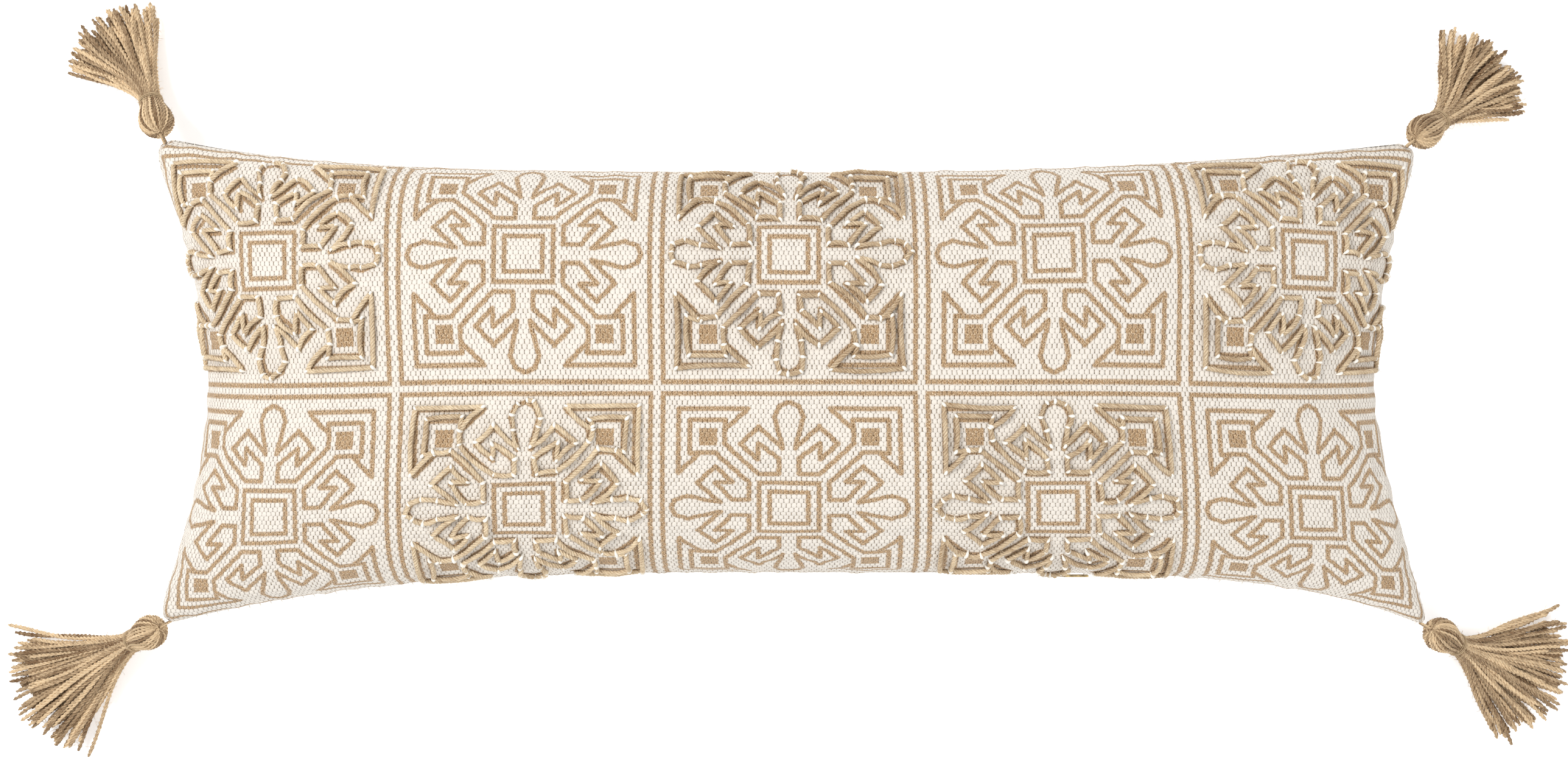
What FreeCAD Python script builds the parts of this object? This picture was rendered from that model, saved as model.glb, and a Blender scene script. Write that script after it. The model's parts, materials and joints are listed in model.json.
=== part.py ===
"""Oblong throw pillow with a zipped cover, a filled insert, couched yarn medallions and corner tassels.

The frame is in millimetres. The origin is the centre of the flat patch the pillow rests on, +Z is up
through the decorated front, +X runs along the pillow and +Y points away from the zipped edge.
"""

import FreeCAD, Part
import math
import os

from FreeCAD import Vector

# Cover: the four corners of the seam outline, as (x, y)
CORNERS = {
    "top_left": (-449.0, 175.5),
    "top_right": (446.0, 172.0),
    "bottom_left": (-447.5, -173.0),
    "bottom_right": (457.0, -174.5),
}
# How far the filling pulls each side in at its middle, and how sharply it lets go towards each corner
END_PULL_IN = 37.0
END_PULL_POWER = 1.5
TOP_PULL_IN = 23.5
TOP_PULL_POWERS = (4.0, 2.2)
BOTTOM_PULL_IN = 40.0
BOTTOM_PULL_POWERS = (3.0, 5.0)

# Heights: the seam above the rest plane, its drop at the corners, and the crown above the seam
SEAM_HEIGHT = 52.0
CORNER_DROP = 10.0
CROWN_HEIGHT = 81.0
LENGTH_FULLNESS = 4.5
WIDTH_FULLNESS = 2.0
BACK_FULLNESS = 1.45

# Fabric layers, each given by its inset from the seam outline and from the front and back faces
COVER_THICKNESS = 1.6
INSERT_EDGE_INSET = 11.5
INSERT_FACE_INSET = 2.4
TICKING_THICKNESS = 0.6
FILL_GAP = 0.2

# Spline patches: poles along and across, and the share of each parameter that the rest patch spans
POLES_ALONG = 17
POLES_ACROSS = 17
DEGREE = 3
REST_SHARE = 2.0 / 7.0
SEWING_TOLERANCE = 0.01

# Cut size of the front panel, and the printed grid of medallion tiles on it
PANEL_HALF_LENGTH = 457.0
PANEL_HALF_WIDTH = 178.0
TILE_HALF_X = 86.8
TILE_HALF_Y = 84.0
TILE_PITCH_UNITS = 2.098
TILE_COLUMNS = 5
PANEL_LINES = 41
ARC_STEPS = 200
BALANCE_ROUNDS = 6
BISECT_STEPS = 40
SEARCH_ROUNDS = 3

# Couched yarn, laid a little outside the printed outline, and the short stitches that tie it down
COUCHING_REACH = 1.02
YARN_RADIUS = 1.9
YARN_END_GAP = 0.3
SHORTEST_RUN = 2.0
TIE_RADIUS = 0.8
TIE_LENGTH = 5.0

# One eighth of the medallion outline, in tile half widths from the tile's centre
OUTLINE_EIGHTH = [
    (0.0, 0.93),
    (0.075, 0.90),
    (0.115, 0.80),
    (0.085, 0.69),
    (0.05, 0.54),
    (0.24, 0.725),
    (0.385, 0.58),
    (0.245, 0.445),
    (0.245, 0.585),
    (0.078, 0.45),
    (0.078, 0.315),
    (0.24, 0.315),
    (0.51, 0.585),
    (0.51, 0.70),
    (0.325, 0.875),
    (0.875, 0.875),
]
BRACKET_ARM = [(0.50, 0.785), (0.785, 0.785)]

# Seam stitching of the cover and of the insert
SEAM_THREAD_RADIUS = 0.4
SEAM_STITCH_LENGTH = 9.0
SEAM_STITCH_PITCH = 12.0

# Zip in the -Y seam
ZIP_HALF_LENGTH = 200.0
ZIP_SLOT_HALF_HEIGHT = 4.2
ZIP_SLOT_DEPTH = 10.0
CHAIN_INSET = 3.8
CHAIN_END_MARGIN = 4.0
COIL_INNER_Z = 0.8
COIL_OUTER_Z = 2.4
COIL_THICKNESS = 2.2
TAPE_OUTER_Z = 8.0
TAPE_THICKNESS = 0.6
STOP_LENGTH = 2.5
STOP_HALF_HEIGHT = 2.7
STOP_THICKNESS = 2.8
ZIP_STITCH_Z = 6.2
ZIP_STITCH_LENGTH = 2.8
ZIP_STITCH_PITCH = 4.0
ZIP_STITCH_RADIUS = 0.35

# Zip slider and its pull, at the closed end
SLIDER_X = 189.0
SLIDER_LENGTH = 9.0
SLIDER_HALF_HEIGHT = 3.6
SLIDER_PLATE = 1.0
SLIDER_GAP = 3.7
SLIDER_POST_LENGTH = 2.0
SLIDER_POST_HALF_HEIGHT = 0.5
PULL_PIN_OFFSET = 3.9
PULL_PIN_RADIUS = 0.7
PULL_PIN_HALF_LENGTH = 2.9
PULL_LUG_LENGTH = 2.2
PULL_LUG_HEIGHT = 0.9
PULL_BARREL_RADIUS = 1.6
PULL_BARREL_CLEARANCE = 0.1
PULL_BARREL_HALF_LENGTH = 1.9
PULL_LENGTH = 24.0
PULL_HALF_HEIGHT = 3.0
PULL_NECK_HALF_HEIGHT = 1.5
PULL_NECK_LENGTH = 6.0
PULL_THICKNESS = 1.1

# Corner tassels: the way each one lies, as a compass angle from +X in degrees
TASSEL_ANGLES = {
    "top_left": 115.0,
    "top_right": 40.0,
    "bottom_left": 208.0,
    "bottom_right": -29.0,
}
EYE_OFFSET = 3.8
EYE_RADIUS = 0.6
EYE_HALF_HEIGHT = 2.0
EYE_LEG_LENGTH = 7.0
LOOP_RADIUS = 2.8
LOOP_CORD_RADIUS = 0.6
LOOP_SLACK = 0.2
HINGE_OFFSET = EYE_OFFSET + LOOP_SLACK + LOOP_RADIUS
HEAD_RING_INNER_RADIUS = 1.0
HEAD_RING_OUTER_RADIUS = 2.0
HEAD_RING_WIDTH = 1.0
HEAD_GAP = 1.7
HEAD_LENGTH = 29.0
HEAD_RADIUS = 12.5
HEAD_TILT = 32.0
NECK_RADIUS = 8.0
BINDING_WIDTH = 6.0
BINDING_THICKNESS = 1.3
# Skirts: distance from hinge to tips, and half the width at the tips
SKIRT_SIZES = {
    "top_left": (106.0, 43.0),
    "top_right": (98.0, 46.0),
    "bottom_left": (120.0, 54.0),
    "bottom_right": (118.0, 56.0),
}
SKIRT_START = 27.0
# Skirt sections: share of the way from neck to tips, half height and centre height
SKIRT_SECTIONS = [
    (0.0, 7.6, 26.0),
    (0.23, 12.0, 16.6),
    (0.57, 10.5, 11.3),
    (1.0, 8.5, 8.5),
]


def export(name, shape):
    """Write one node to its STEP file."""
    shape.exportStep("parts/%s.step" % name)


def box(low, high):
    """Axis-aligned box between two corners given as (x, y, z)."""
    size = [high[i] - low[i] for i in range(3)]
    return Part.makeBox(size[0], size[1], size[2], Vector(*low))


def rod(start, end, radius):
    """Cylinder from one point to another."""
    span = end - start
    return Part.makeCylinder(radius, span.Length, start, span)


def tube(start, end, outer_radius, inner_radius):
    """Cylinder from one point to another with a round hole right through it."""
    return rod(start, end, outer_radius).cut(rod(start, end, inner_radius))


# ---------------------------------------------------------------------------
# Soft outer shape
# ---------------------------------------------------------------------------
def blend(low_value, high_value, position):
    """Straight blend of two values over a position from -1 to 1."""
    return low_value + (high_value - low_value) * 0.5 * (position + 1.0)


def outline(s, t, inset):
    """Plan position for parameters s and t, each from -1 to 1, inside the seam by an inset."""
    u = math.sin(0.5 * math.pi * s)
    v = math.sin(0.5 * math.pi * t)
    end = "right" if u > 0 else "left"
    edge = "top" if v > 0 else "bottom"
    corner_x = blend(abs(CORNERS["bottom_" + end][0]), abs(CORNERS["top_" + end][0]), v)
    corner_y = blend(abs(CORNERS[edge + "_left"][1]), abs(CORNERS[edge + "_right"][1]), u)
    pull_in = TOP_PULL_IN if v > 0 else BOTTOM_PULL_IN
    powers = TOP_PULL_POWERS if v > 0 else BOTTOM_PULL_POWERS
    power = powers[1] if u > 0 else powers[0]
    half_x = corner_x - END_PULL_IN * (1.0 - abs(v) ** END_PULL_POWER) - inset
    half_y = corner_y - pull_in * (1.0 - abs(u) ** power) - inset
    return u * half_x, v * half_y


def seam_height(s, t):
    """Height of the sheet that the seam lies on: level, and a little lower towards the corners."""
    u = math.sin(0.5 * math.pi * s)
    v = math.sin(0.5 * math.pi * t)
    return SEAM_HEIGHT - CORNER_DROP * (u * v) ** 4


def fullness(s, t):
    """Share of the full height: 0 on the seam and 1 over the pillow's centre."""
    u = abs(math.sin(0.5 * math.pi * s))
    v = abs(math.sin(0.5 * math.pi * t))
    along = max(0.0, 1.0 - u ** LENGTH_FULLNESS)
    across = max(0.0, 1.0 - v ** WIDTH_FULLNESS)
    return math.sqrt(along * across)


def front_pole(s, t, edge_inset, face_inset):
    """Pole of a layer under the front face."""
    x, y = outline(s, t, edge_inset)
    return Vector(x, y, seam_height(s, t) + (CROWN_HEIGHT - face_inset) * fullness(s, t))


def back_pole(s, t, edge_inset, face_inset):
    """Pole of a layer over the back face, which is flat where it rests."""
    x, y = outline(s, t, edge_inset)
    share = 1.0 - min(1.0, BACK_FULLNESS * fullness(s, t))
    return Vector(x, y, face_inset + (seam_height(s, t) - face_inset) * share)


def knot_values(pole_count):
    """Even knots from -1 to 1 for a clamped spline, and their multiplicities."""
    spans = pole_count - DEGREE
    knots = [-1.0 + 2.0 * i / spans for i in range(spans + 1)]
    multiplicities = [DEGREE + 1] + [1] * (spans - 1) + [DEGREE + 1]
    return knots, multiplicities


def pole_parameters(pole_count):
    """Parameter that each pole of a clamped spline stands for."""
    knots, multiplicities = knot_values(pole_count)
    repeated = [k for k, m in zip(knots, multiplicities) for _ in range(m)]
    return [sum(repeated[i + 1 : i + 1 + DEGREE]) / DEGREE for i in range(pole_count)]


def layer_surface(pole, edge_inset, face_inset):
    """Spline surface of one face of one fabric layer."""
    knots_s, mults_s = knot_values(POLES_ALONG)
    knots_t, mults_t = knot_values(POLES_ACROSS)
    poles = [
        [pole(s, t, edge_inset, face_inset) for t in pole_parameters(POLES_ACROSS)]
        for s in pole_parameters(POLES_ALONG)
    ]
    surface = Part.BSplineSurface()
    surface.buildFromPolesMultsKnots(
        poles, mults_s, mults_t, knots_s, knots_t, False, False, DEGREE, DEGREE
    )
    return surface


def cell_bounds():
    """The three stretches that each parameter is split into, the middle one over the rest patch."""
    return [(-1.0, -REST_SHARE), (-REST_SHARE, REST_SHARE), (REST_SHARE, 1.0)]


def surface_cells(surface, flat_middle):
    """Nine faces that cover a surface, with a true plane in the middle if asked for."""
    faces = []
    for column, (s0, s1) in enumerate(cell_bounds()):
        for row, (t0, t1) in enumerate(cell_bounds()):
            cell = surface.copy()
            cell.segment(s0, s1, t0, t1)
            if flat_middle and column == 1 and row == 1:
                corners = cell.toShape()
                faces.append(Part.Face(Part.Wire(Part.__sortEdges__(corners.Edges))))
            else:
                faces.append(cell.toShape())
    return faces


def edge_strips(outer, inner):
    """Narrow faces that close the gap between two surfaces along their four sides."""
    strips = []
    for low, high in cell_bounds():
        for side in (-1.0, 1.0):
            pairs = (
                (outer.uIso(side), inner.uIso(side)),
                (outer.vIso(side), inner.vIso(side)),
            )
            for outer_curve, inner_curve in pairs:
                strips.append(
                    Part.makeRuledSurface(
                        outer_curve.toShape(low, high), inner_curve.toShape(low, high)
                    )
                )
    return strips


def closed_solid(faces):
    """Solid bounded by faces that meet edge to edge."""
    compound = Part.makeCompound(faces)
    compound.sewShape(SEWING_TOLERANCE)
    solid = Part.Solid(compound.Shells[0])
    if solid.Volume < 0:
        solid.reverse()
    if not solid.isClosed():
        raise ValueError("a fabric layer is not closed")
    return solid


def fabric_layer(pole, edge_insets, face_insets, flat_middle):
    """Thin closed layer between an outer and an inner surface."""
    outer = layer_surface(pole, edge_insets[0], face_insets[0])
    inner = layer_surface(pole, edge_insets[1], face_insets[1])
    faces = surface_cells(outer, flat_middle) + surface_cells(inner, False)
    return closed_solid(faces + edge_strips(outer, inner))


def filled_body(edge_inset, face_inset):
    """Closed body between the front and back surfaces at one inset."""
    front = layer_surface(front_pole, edge_inset, face_inset)
    back = layer_surface(back_pole, edge_inset, face_inset)
    return closed_solid(surface_cells(front, False) + surface_cells(back, False))


# ---------------------------------------------------------------------------
# Places on the front panel
# ---------------------------------------------------------------------------
def length_table(point_at):
    """Running length of a curve from parameter 0 to 1, sampled evenly."""
    lengths = [0.0]
    previous = point_at(0.0)
    for i in range(1, ARC_STEPS + 1):
        current = point_at(i / ARC_STEPS)
        lengths.append(lengths[-1] + (current - previous).Length)
        previous = current
    return lengths


def parameter_at(lengths, share):
    """Parameter whose running length is the given share of the whole, keeping the share's sign."""
    target = min(abs(share), 1.0) * lengths[-1]
    index = 1
    while index < ARC_STEPS and lengths[index] < target:
        index += 1
    step = lengths[index] - lengths[index - 1]
    inside = (target - lengths[index - 1]) / step if step else 0.0
    return math.copysign((index - 1 + inside) / ARC_STEPS, share)


def half_tables(point_at):
    """Length tables of the two halves of a curve that runs from parameter -1 to 1."""
    return {side: length_table(lambda share: point_at(side * share)) for side in (-1, 1)}


def between_lines(lines, position, share):
    """Parameter at a share of the length, between the two nearest of a family of evenly spaced lines."""
    place = 0.5 * (min(1.0, max(-1.0, position)) + 1.0) * (PANEL_LINES - 1)
    index = min(int(place), PANEL_LINES - 2)
    side = 1 if share > 0 else -1
    low = parameter_at(lines[index][side], share)
    high = parameter_at(lines[index + 1][side], share)
    return low + (high - low) * (place - index)


class FrontPanel:
    """The cover's front surface, addressed by distances on the flat panel from its centre."""

    def __init__(self):
        self.surface = layer_surface(front_pole, 0.0, 0.0)
        positions = [-1.0 + 2.0 * i / (PANEL_LINES - 1) for i in range(PANEL_LINES)]
        self.along = [half_tables(lambda s: self.surface.value(s, line)) for line in positions]
        self.across = [half_tables(lambda t: self.surface.value(line, t)) for line in positions]

    def place(self, x, y):
        """Point and outward normal at a flat position."""
        share_x = x / PANEL_HALF_LENGTH
        share_y = y / PANEL_HALF_WIDTH
        s = share_x
        t = share_y
        for _ in range(BALANCE_ROUNDS):
            s = between_lines(self.along, t, share_x)
            t = between_lines(self.across, s, share_y)
        normal = self.surface.normal(s, t)
        if normal.z < 0:
            normal = normal * -1.0
        return self.surface.value(s, t), normal


def tile_centres():
    """Flat centres of the tiles that carry couched yarn: every second tile, as on a chessboard."""
    pitch_x = TILE_PITCH_UNITS * TILE_HALF_X
    pitch_y = TILE_PITCH_UNITS * TILE_HALF_Y
    middle = (TILE_COLUMNS - 1) / 2.0
    centres = []
    for column in range(TILE_COLUMNS):
        row_sign = 1.0 if column % 2 == 0 else -1.0
        centres.append(((column - middle) * pitch_x, row_sign * 0.5 * pitch_y))
    return centres


def closed_outline():
    """The whole medallion outline as one closed list of points, from eight mirrored eighths."""
    half_side = OUTLINE_EIGHTH + [(y, x) for x, y in reversed(OUTLINE_EIGHTH[:-1])]
    points = []
    for turn in range(4):
        angle = -0.5 * math.pi * turn
        cosine = round(math.cos(angle))
        sine = round(math.sin(angle))
        points += [(x * cosine - y * sine, x * sine + y * cosine) for x, y in half_side[:-1]]
    return points


def corner_brackets():
    """The four right-angled brackets near the tile's corners."""
    brackets = []
    for sign_x in (-1, 1):
        for sign_y in (-1, 1):
            arm = BRACKET_ARM + [(BRACKET_ARM[0][1], BRACKET_ARM[0][0])]
            brackets.append([(sign_x * x, sign_y * y) for x, y in arm])
    return brackets


def end_trim(previous, corner, following):
    """How far a yarn run stops short of a corner, so that it clears the next run."""
    incoming = (previous - corner).normalize()
    outgoing = (following - corner).normalize()
    cosine = max(-1.0, min(1.0, incoming.dot(outgoing)))
    half_angle = 0.5 * math.acos(cosine)
    return YARN_RADIUS / math.tan(half_angle) + YARN_END_GAP


def couched_path(panel, centre, points, closed):
    """Yarn runs and tie stitches along one path of a tile."""
    places = []
    for x, y in points:
        flat_x = centre[0] + x * COUCHING_REACH * TILE_HALF_X
        flat_y = centre[1] + y * COUCHING_REACH * TILE_HALF_Y
        spot, normal = panel.place(flat_x, flat_y)
        places.append((spot + normal * YARN_RADIUS, normal))
    count = len(places)
    trims = []
    for i in range(count):
        if closed or 0 < i < count - 1:
            neighbours = places[i - 1][0], places[(i + 1) % count][0]
            trims.append(end_trim(neighbours[0], places[i][0], neighbours[1]))
        else:
            trims.append(YARN_END_GAP)
    runs = []
    for i in range(count if closed else count - 1):
        j = (i + 1) % count
        way = places[j][0] - places[i][0]
        if way.Length - trims[i] - trims[j] < SHORTEST_RUN:
            continue
        way.normalize()
        runs.append(rod(places[i][0] + way * trims[i], places[j][0] - way * trims[j], YARN_RADIUS))
    ties = [rod(p - n * (0.5 * TIE_LENGTH), p + n * (0.5 * TIE_LENGTH), TIE_RADIUS) for p, n in places]
    return runs, ties


def make_couching(panel):
    """Couched yarn and tie stitches of every second tile."""
    for number, centre in enumerate(tile_centres(), start=1):
        runs, ties = couched_path(panel, centre, closed_outline(), True)
        for bracket in corner_brackets():
            more_runs, more_ties = couched_path(panel, centre, bracket, False)
            runs += more_runs
            ties += more_ties
        export("couched_yarn_%d" % number, Part.makeCompound(runs))
        export("tie_stitches_%d" % number, Part.makeCompound(ties))


# ---------------------------------------------------------------------------
# Seams
# ---------------------------------------------------------------------------
def seam_stitches(surface, skip_zip):
    """Straight stitches in a row round the four sides of a surface."""
    stitches = []
    sides = (
        (surface.vIso(-1.0), True),
        (surface.vIso(1.0), False),
        (surface.uIso(-1.0), False),
        (surface.uIso(1.0), False),
    )
    for curve, has_zip in sides:
        edge = curve.toShape()
        count = int(edge.Length / SEAM_STITCH_PITCH)
        points = edge.discretize(count + 1)
        for start, end in zip(points[:-1], points[1:]):
            nearest = min(abs(start.x), abs(end.x))
            if skip_zip and has_zip and nearest < ZIP_HALF_LENGTH + SEAM_STITCH_PITCH:
                continue
            way = (end - start).normalize()
            middle = (start + end) * 0.5
            half = way * (0.5 * SEAM_STITCH_LENGTH)
            stitches.append(rod(middle - half, middle + half, SEAM_THREAD_RADIUS))
    return Part.makeCompound(stitches)


# ---------------------------------------------------------------------------
# Zip
# ---------------------------------------------------------------------------
class ZipLine:
    """Where the zip runs: straight, along X, in the middle of the -Y seam."""

    def __init__(self):
        seam = layer_surface(front_pole, 0.0, 0.0).value(0.0, -1.0)
        self.edge_y = seam.y
        self.z = seam.z
        self.chain_y = self.edge_y + CHAIN_INSET


def zip_slot(line):
    """Opening between the two lips of the cover."""
    return box(
        (-ZIP_HALF_LENGTH, line.edge_y - ZIP_SLOT_DEPTH, line.z - ZIP_SLOT_HALF_HEIGHT),
        (ZIP_HALF_LENGTH, line.edge_y + ZIP_SLOT_DEPTH, line.z + ZIP_SLOT_HALF_HEIGHT),
    )


def zip_row(line, side, inner_z, outer_z, thickness, half_length):
    """Straight strip of the zip on the upper (+1) or lower (-1) side."""
    low_z, high_z = sorted((line.z + side * inner_z, line.z + side * outer_z))
    return box(
        (-half_length, line.chain_y - 0.5 * thickness, low_z),
        (half_length, line.chain_y + 0.5 * thickness, high_z),
    )


def zip_stop(line, side):
    """Metal stop over both coils at one end of the chain."""
    chain_end = side * (ZIP_HALF_LENGTH - CHAIN_END_MARGIN)
    low_x, high_x = sorted((chain_end, chain_end + side * STOP_LENGTH))
    return box(
        (low_x, line.chain_y - 0.5 * STOP_THICKNESS, line.z - STOP_HALF_HEIGHT),
        (high_x, line.chain_y + 0.5 * STOP_THICKNESS, line.z + STOP_HALF_HEIGHT),
    )


def bisect(function, low, high):
    """Root of a rising function between two bounds."""
    for _ in range(BISECT_STEPS):
        middle = 0.5 * (low + high)
        if function(middle) < 0:
            low = middle
        else:
            high = middle
    return 0.5 * (low + high)


def wall_point(surface, x, z):
    """Point of a surface near the -Y seam at a given x and z."""
    s = 0.0
    t = -1.0
    for _ in range(SEARCH_ROUNDS):
        s = bisect(lambda value: surface.value(value, t).x - x, -1.0, 1.0)
        t = bisect(lambda value: abs(surface.value(s, value).z - SEAM_HEIGHT) - z, -1.0, -0.5)
    return surface.value(s, t)


def zip_stitch_row(side):
    """Stitches that hold one tape to its lip of the cover."""
    surface = layer_surface(front_pole if side > 0 else back_pole, 0.0, 0.0)
    stitches = []
    count = int(2 * ZIP_HALF_LENGTH / ZIP_STITCH_PITCH)
    half = Vector(0.5 * ZIP_STITCH_LENGTH, 0, 0)
    for i in range(count):
        x = -ZIP_HALF_LENGTH + (i + 0.5) * ZIP_STITCH_PITCH
        spot = wall_point(surface, x, ZIP_STITCH_Z)
        stitches.append(rod(spot - half, spot + half, ZIP_STITCH_RADIUS))
    return Part.makeCompound(stitches)


def zip_slider(line):
    """Two plates joined by a post between the coils, with lugs and a pin for the pull."""
    x0 = SLIDER_X - 0.5 * SLIDER_LENGTH
    x1 = SLIDER_X + 0.5 * SLIDER_LENGTH
    z0 = line.z - SLIDER_HALF_HEIGHT
    z1 = line.z + SLIDER_HALF_HEIGHT
    outer_y = line.chain_y - 0.5 * SLIDER_GAP - SLIDER_PLATE
    inner_y = line.chain_y + 0.5 * SLIDER_GAP + SLIDER_PLATE
    outer_plate = box((x0, outer_y, z0), (x1, outer_y + SLIDER_PLATE, z1))
    inner_plate = box((x0, inner_y - SLIDER_PLATE, z0), (x1, inner_y, z1))
    post = box(
        (x1 - SLIDER_POST_LENGTH, outer_y, line.z - SLIDER_POST_HALF_HEIGHT),
        (x1, inner_y, line.z + SLIDER_POST_HALF_HEIGHT),
    )
    pin_y = outer_y - PULL_PIN_OFFSET
    parts = [inner_plate, post]
    pin = rod(
        Vector(SLIDER_X, pin_y, line.z - PULL_PIN_HALF_LENGTH),
        Vector(SLIDER_X, pin_y, line.z + PULL_PIN_HALF_LENGTH),
        PULL_PIN_RADIUS,
    )
    parts.append(pin)
    for side in (-1, 1):
        near_z = line.z + side * (PULL_PIN_HALF_LENGTH - PULL_LUG_HEIGHT)
        far_z = line.z + side * PULL_PIN_HALF_LENGTH
        low_z, high_z = sorted((near_z, far_z))
        parts.append(
            box(
                (SLIDER_X - 0.5 * PULL_LUG_LENGTH, pin_y - 0.5 * PULL_LUG_LENGTH, low_z),
                (SLIDER_X + 0.5 * PULL_LUG_LENGTH, outer_y + 0.1, high_z),
            )
        )
    return outer_plate.multiFuse(parts).removeSplitter(), pin_y


def zip_pull(line, pin_y):
    """Flat tab with a barrel round the slider's pin, lying along the seam."""
    low = Vector(SLIDER_X, pin_y, line.z - PULL_BARREL_HALF_LENGTH)
    high = Vector(SLIDER_X, pin_y, line.z + PULL_BARREL_HALF_LENGTH)
    neck_start = SLIDER_X + PULL_PIN_RADIUS + PULL_BARREL_CLEARANCE
    neck_end = SLIDER_X + PULL_NECK_LENGTH
    neck = box(
        (neck_start, pin_y - 0.5 * PULL_THICKNESS, line.z - PULL_NECK_HALF_HEIGHT),
        (neck_end, pin_y + 0.5 * PULL_THICKNESS, line.z + PULL_NECK_HALF_HEIGHT),
    )
    tab = box(
        (neck_end, pin_y - 0.5 * PULL_THICKNESS, line.z - PULL_HALF_HEIGHT),
        (SLIDER_X + PULL_LENGTH, pin_y + 0.5 * PULL_THICKNESS, line.z + PULL_HALF_HEIGHT),
    )
    upright = [edge for edge in tab.Edges if edge.BoundBox.YLength > 0.9 * PULL_THICKNESS]
    tab = tab.makeFillet(0.6 * PULL_NECK_HALF_HEIGHT, upright)
    barrel = rod(low, high, PULL_BARREL_RADIUS)
    hole = rod(
        low - Vector(0, 0, 1), high + Vector(0, 0, 1), PULL_PIN_RADIUS + PULL_BARREL_CLEARANCE
    )
    return barrel.multiFuse([neck, tab]).cut(hole).removeSplitter()


def make_zip(line):
    """Every piece of the zip."""
    chain_half = ZIP_HALF_LENGTH - CHAIN_END_MARGIN
    for name, side in (("upper", 1), ("lower", -1)):
        tape = zip_row(line, side, COIL_OUTER_Z, TAPE_OUTER_Z, TAPE_THICKNESS, ZIP_HALF_LENGTH)
        coil = zip_row(line, side, COIL_INNER_Z, COIL_OUTER_Z, COIL_THICKNESS, chain_half)
        export("zip_tape_" + name, tape)
        export("zip_coil_" + name, coil)
        export("zip_stitching_" + name, zip_stitch_row(side))
    export("zip_stop_closed", zip_stop(line, 1))
    export("zip_stop_open", zip_stop(line, -1))
    slider, pin_y = zip_slider(line)
    export("zip_slider", slider)
    export("zip_pull", zip_pull(line, pin_y))
    print("zip pin at", SLIDER_X, round(pin_y, 3), round(line.z, 3))


# ---------------------------------------------------------------------------
# Tassels
# ---------------------------------------------------------------------------
class TasselFrame:
    """Place and directions of one corner tassel."""

    def __init__(self, name):
        angle = math.radians(TASSEL_ANGLES[name])
        self.corner = Vector(*CORNERS[name], SEAM_HEIGHT - CORNER_DROP)
        self.out = Vector(math.cos(angle), math.sin(angle), 0.0)
        self.side = Vector(-math.sin(angle), math.cos(angle), 0.0)
        self.hinge = self.corner + self.out * HINGE_OFFSET
        tilt = math.radians(HEAD_TILT)
        self.axis = self.out * math.cos(tilt) - Vector(0, 0, 1) * math.sin(tilt)
        self.skirt_end, self.skirt_half_width = SKIRT_SIZES[name]

    def along(self, distance):
        """Point on the tilted head axis, measured from the hinge."""
        return self.hinge + self.axis * distance


def corner_eye(frame):
    """Thread eye sewn to the corner: an upright bar on two legs."""
    bar = frame.corner + frame.out * EYE_OFFSET
    rise = Vector(0, 0, EYE_HALF_HEIGHT)
    upright = rod(bar - rise, bar + rise, EYE_RADIUS)
    inward = Vector(-frame.corner.x, -frame.corner.y, 0).normalize() * EYE_LEG_LENGTH
    legs = [rod(bar + rise * side, bar + rise * side + inward, EYE_RADIUS) for side in (-1, 1)]
    return upright.multiFuse(legs).removeSplitter()


def tassel_loop(frame):
    """Ring of cord that runs through the eye."""
    centre = frame.corner + frame.out * (EYE_OFFSET + LOOP_SLACK)
    return Part.makeTorus(LOOP_RADIUS, LOOP_CORD_RADIUS, centre, Vector(0, 0, 1))


def tassel_head(frame):
    """Rounded head of folded yarn, flat at the neck, with a small ring that links it to the loop."""
    half_length = 0.5 * HEAD_LENGTH
    ball = Part.makeSphere(1.0)
    stretch = FreeCAD.Matrix()
    stretch.scale(HEAD_RADIUS, HEAD_RADIUS, half_length)
    egg = ball.transformGeometry(stretch)
    turn = FreeCAD.Rotation(Vector(0, 0, 1), frame.axis)
    egg.Placement = FreeCAD.Placement(frame.along(HEAD_GAP + half_length), turn)
    neck = rod(frame.along(HEAD_LENGTH - 0.5 * BINDING_WIDTH - 1.0), frame.along(HEAD_LENGTH), NECK_RADIUS)
    keep = Part.makeCylinder(
        2 * HEAD_RADIUS, HEAD_LENGTH - HEAD_GAP, frame.along(HEAD_GAP), frame.axis
    )
    ring_start = frame.hinge - frame.side * (0.5 * HEAD_RING_WIDTH)
    ring_end = frame.hinge + frame.side * (0.5 * HEAD_RING_WIDTH)
    ring = tube(ring_start, ring_end, HEAD_RING_OUTER_RADIUS, HEAD_RING_INNER_RADIUS)
    return egg.common(keep).multiFuse([neck, ring]).removeSplitter()


def tassel_binding(frame):
    """Thread wound round the neck."""
    start = frame.along(HEAD_LENGTH - 0.5 * BINDING_WIDTH)
    end = frame.along(HEAD_LENGTH + 0.5 * BINDING_WIDTH)
    return tube(start, end, NECK_RADIUS + BINDING_THICKNESS, NECK_RADIUS)


def tassel_skirt(frame):
    """Spreading bundle of loose yarns, as one plain body that lies down to the rest plane."""
    sections = []
    for share, half_height, height in SKIRT_SECTIONS:
        centre = frame.hinge + frame.out * (SKIRT_START + (frame.skirt_end - SKIRT_START) * share)
        centre.z = height
        half_width = NECK_RADIUS + (frame.skirt_half_width - NECK_RADIUS) * share
        ellipse = Part.Ellipse(
            centre + frame.side * half_width, centre + Vector(0, 0, half_height), centre
        )
        sections.append(Part.Wire(ellipse.toShape()))
    return Part.makeLoft(sections, True, True)


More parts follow.
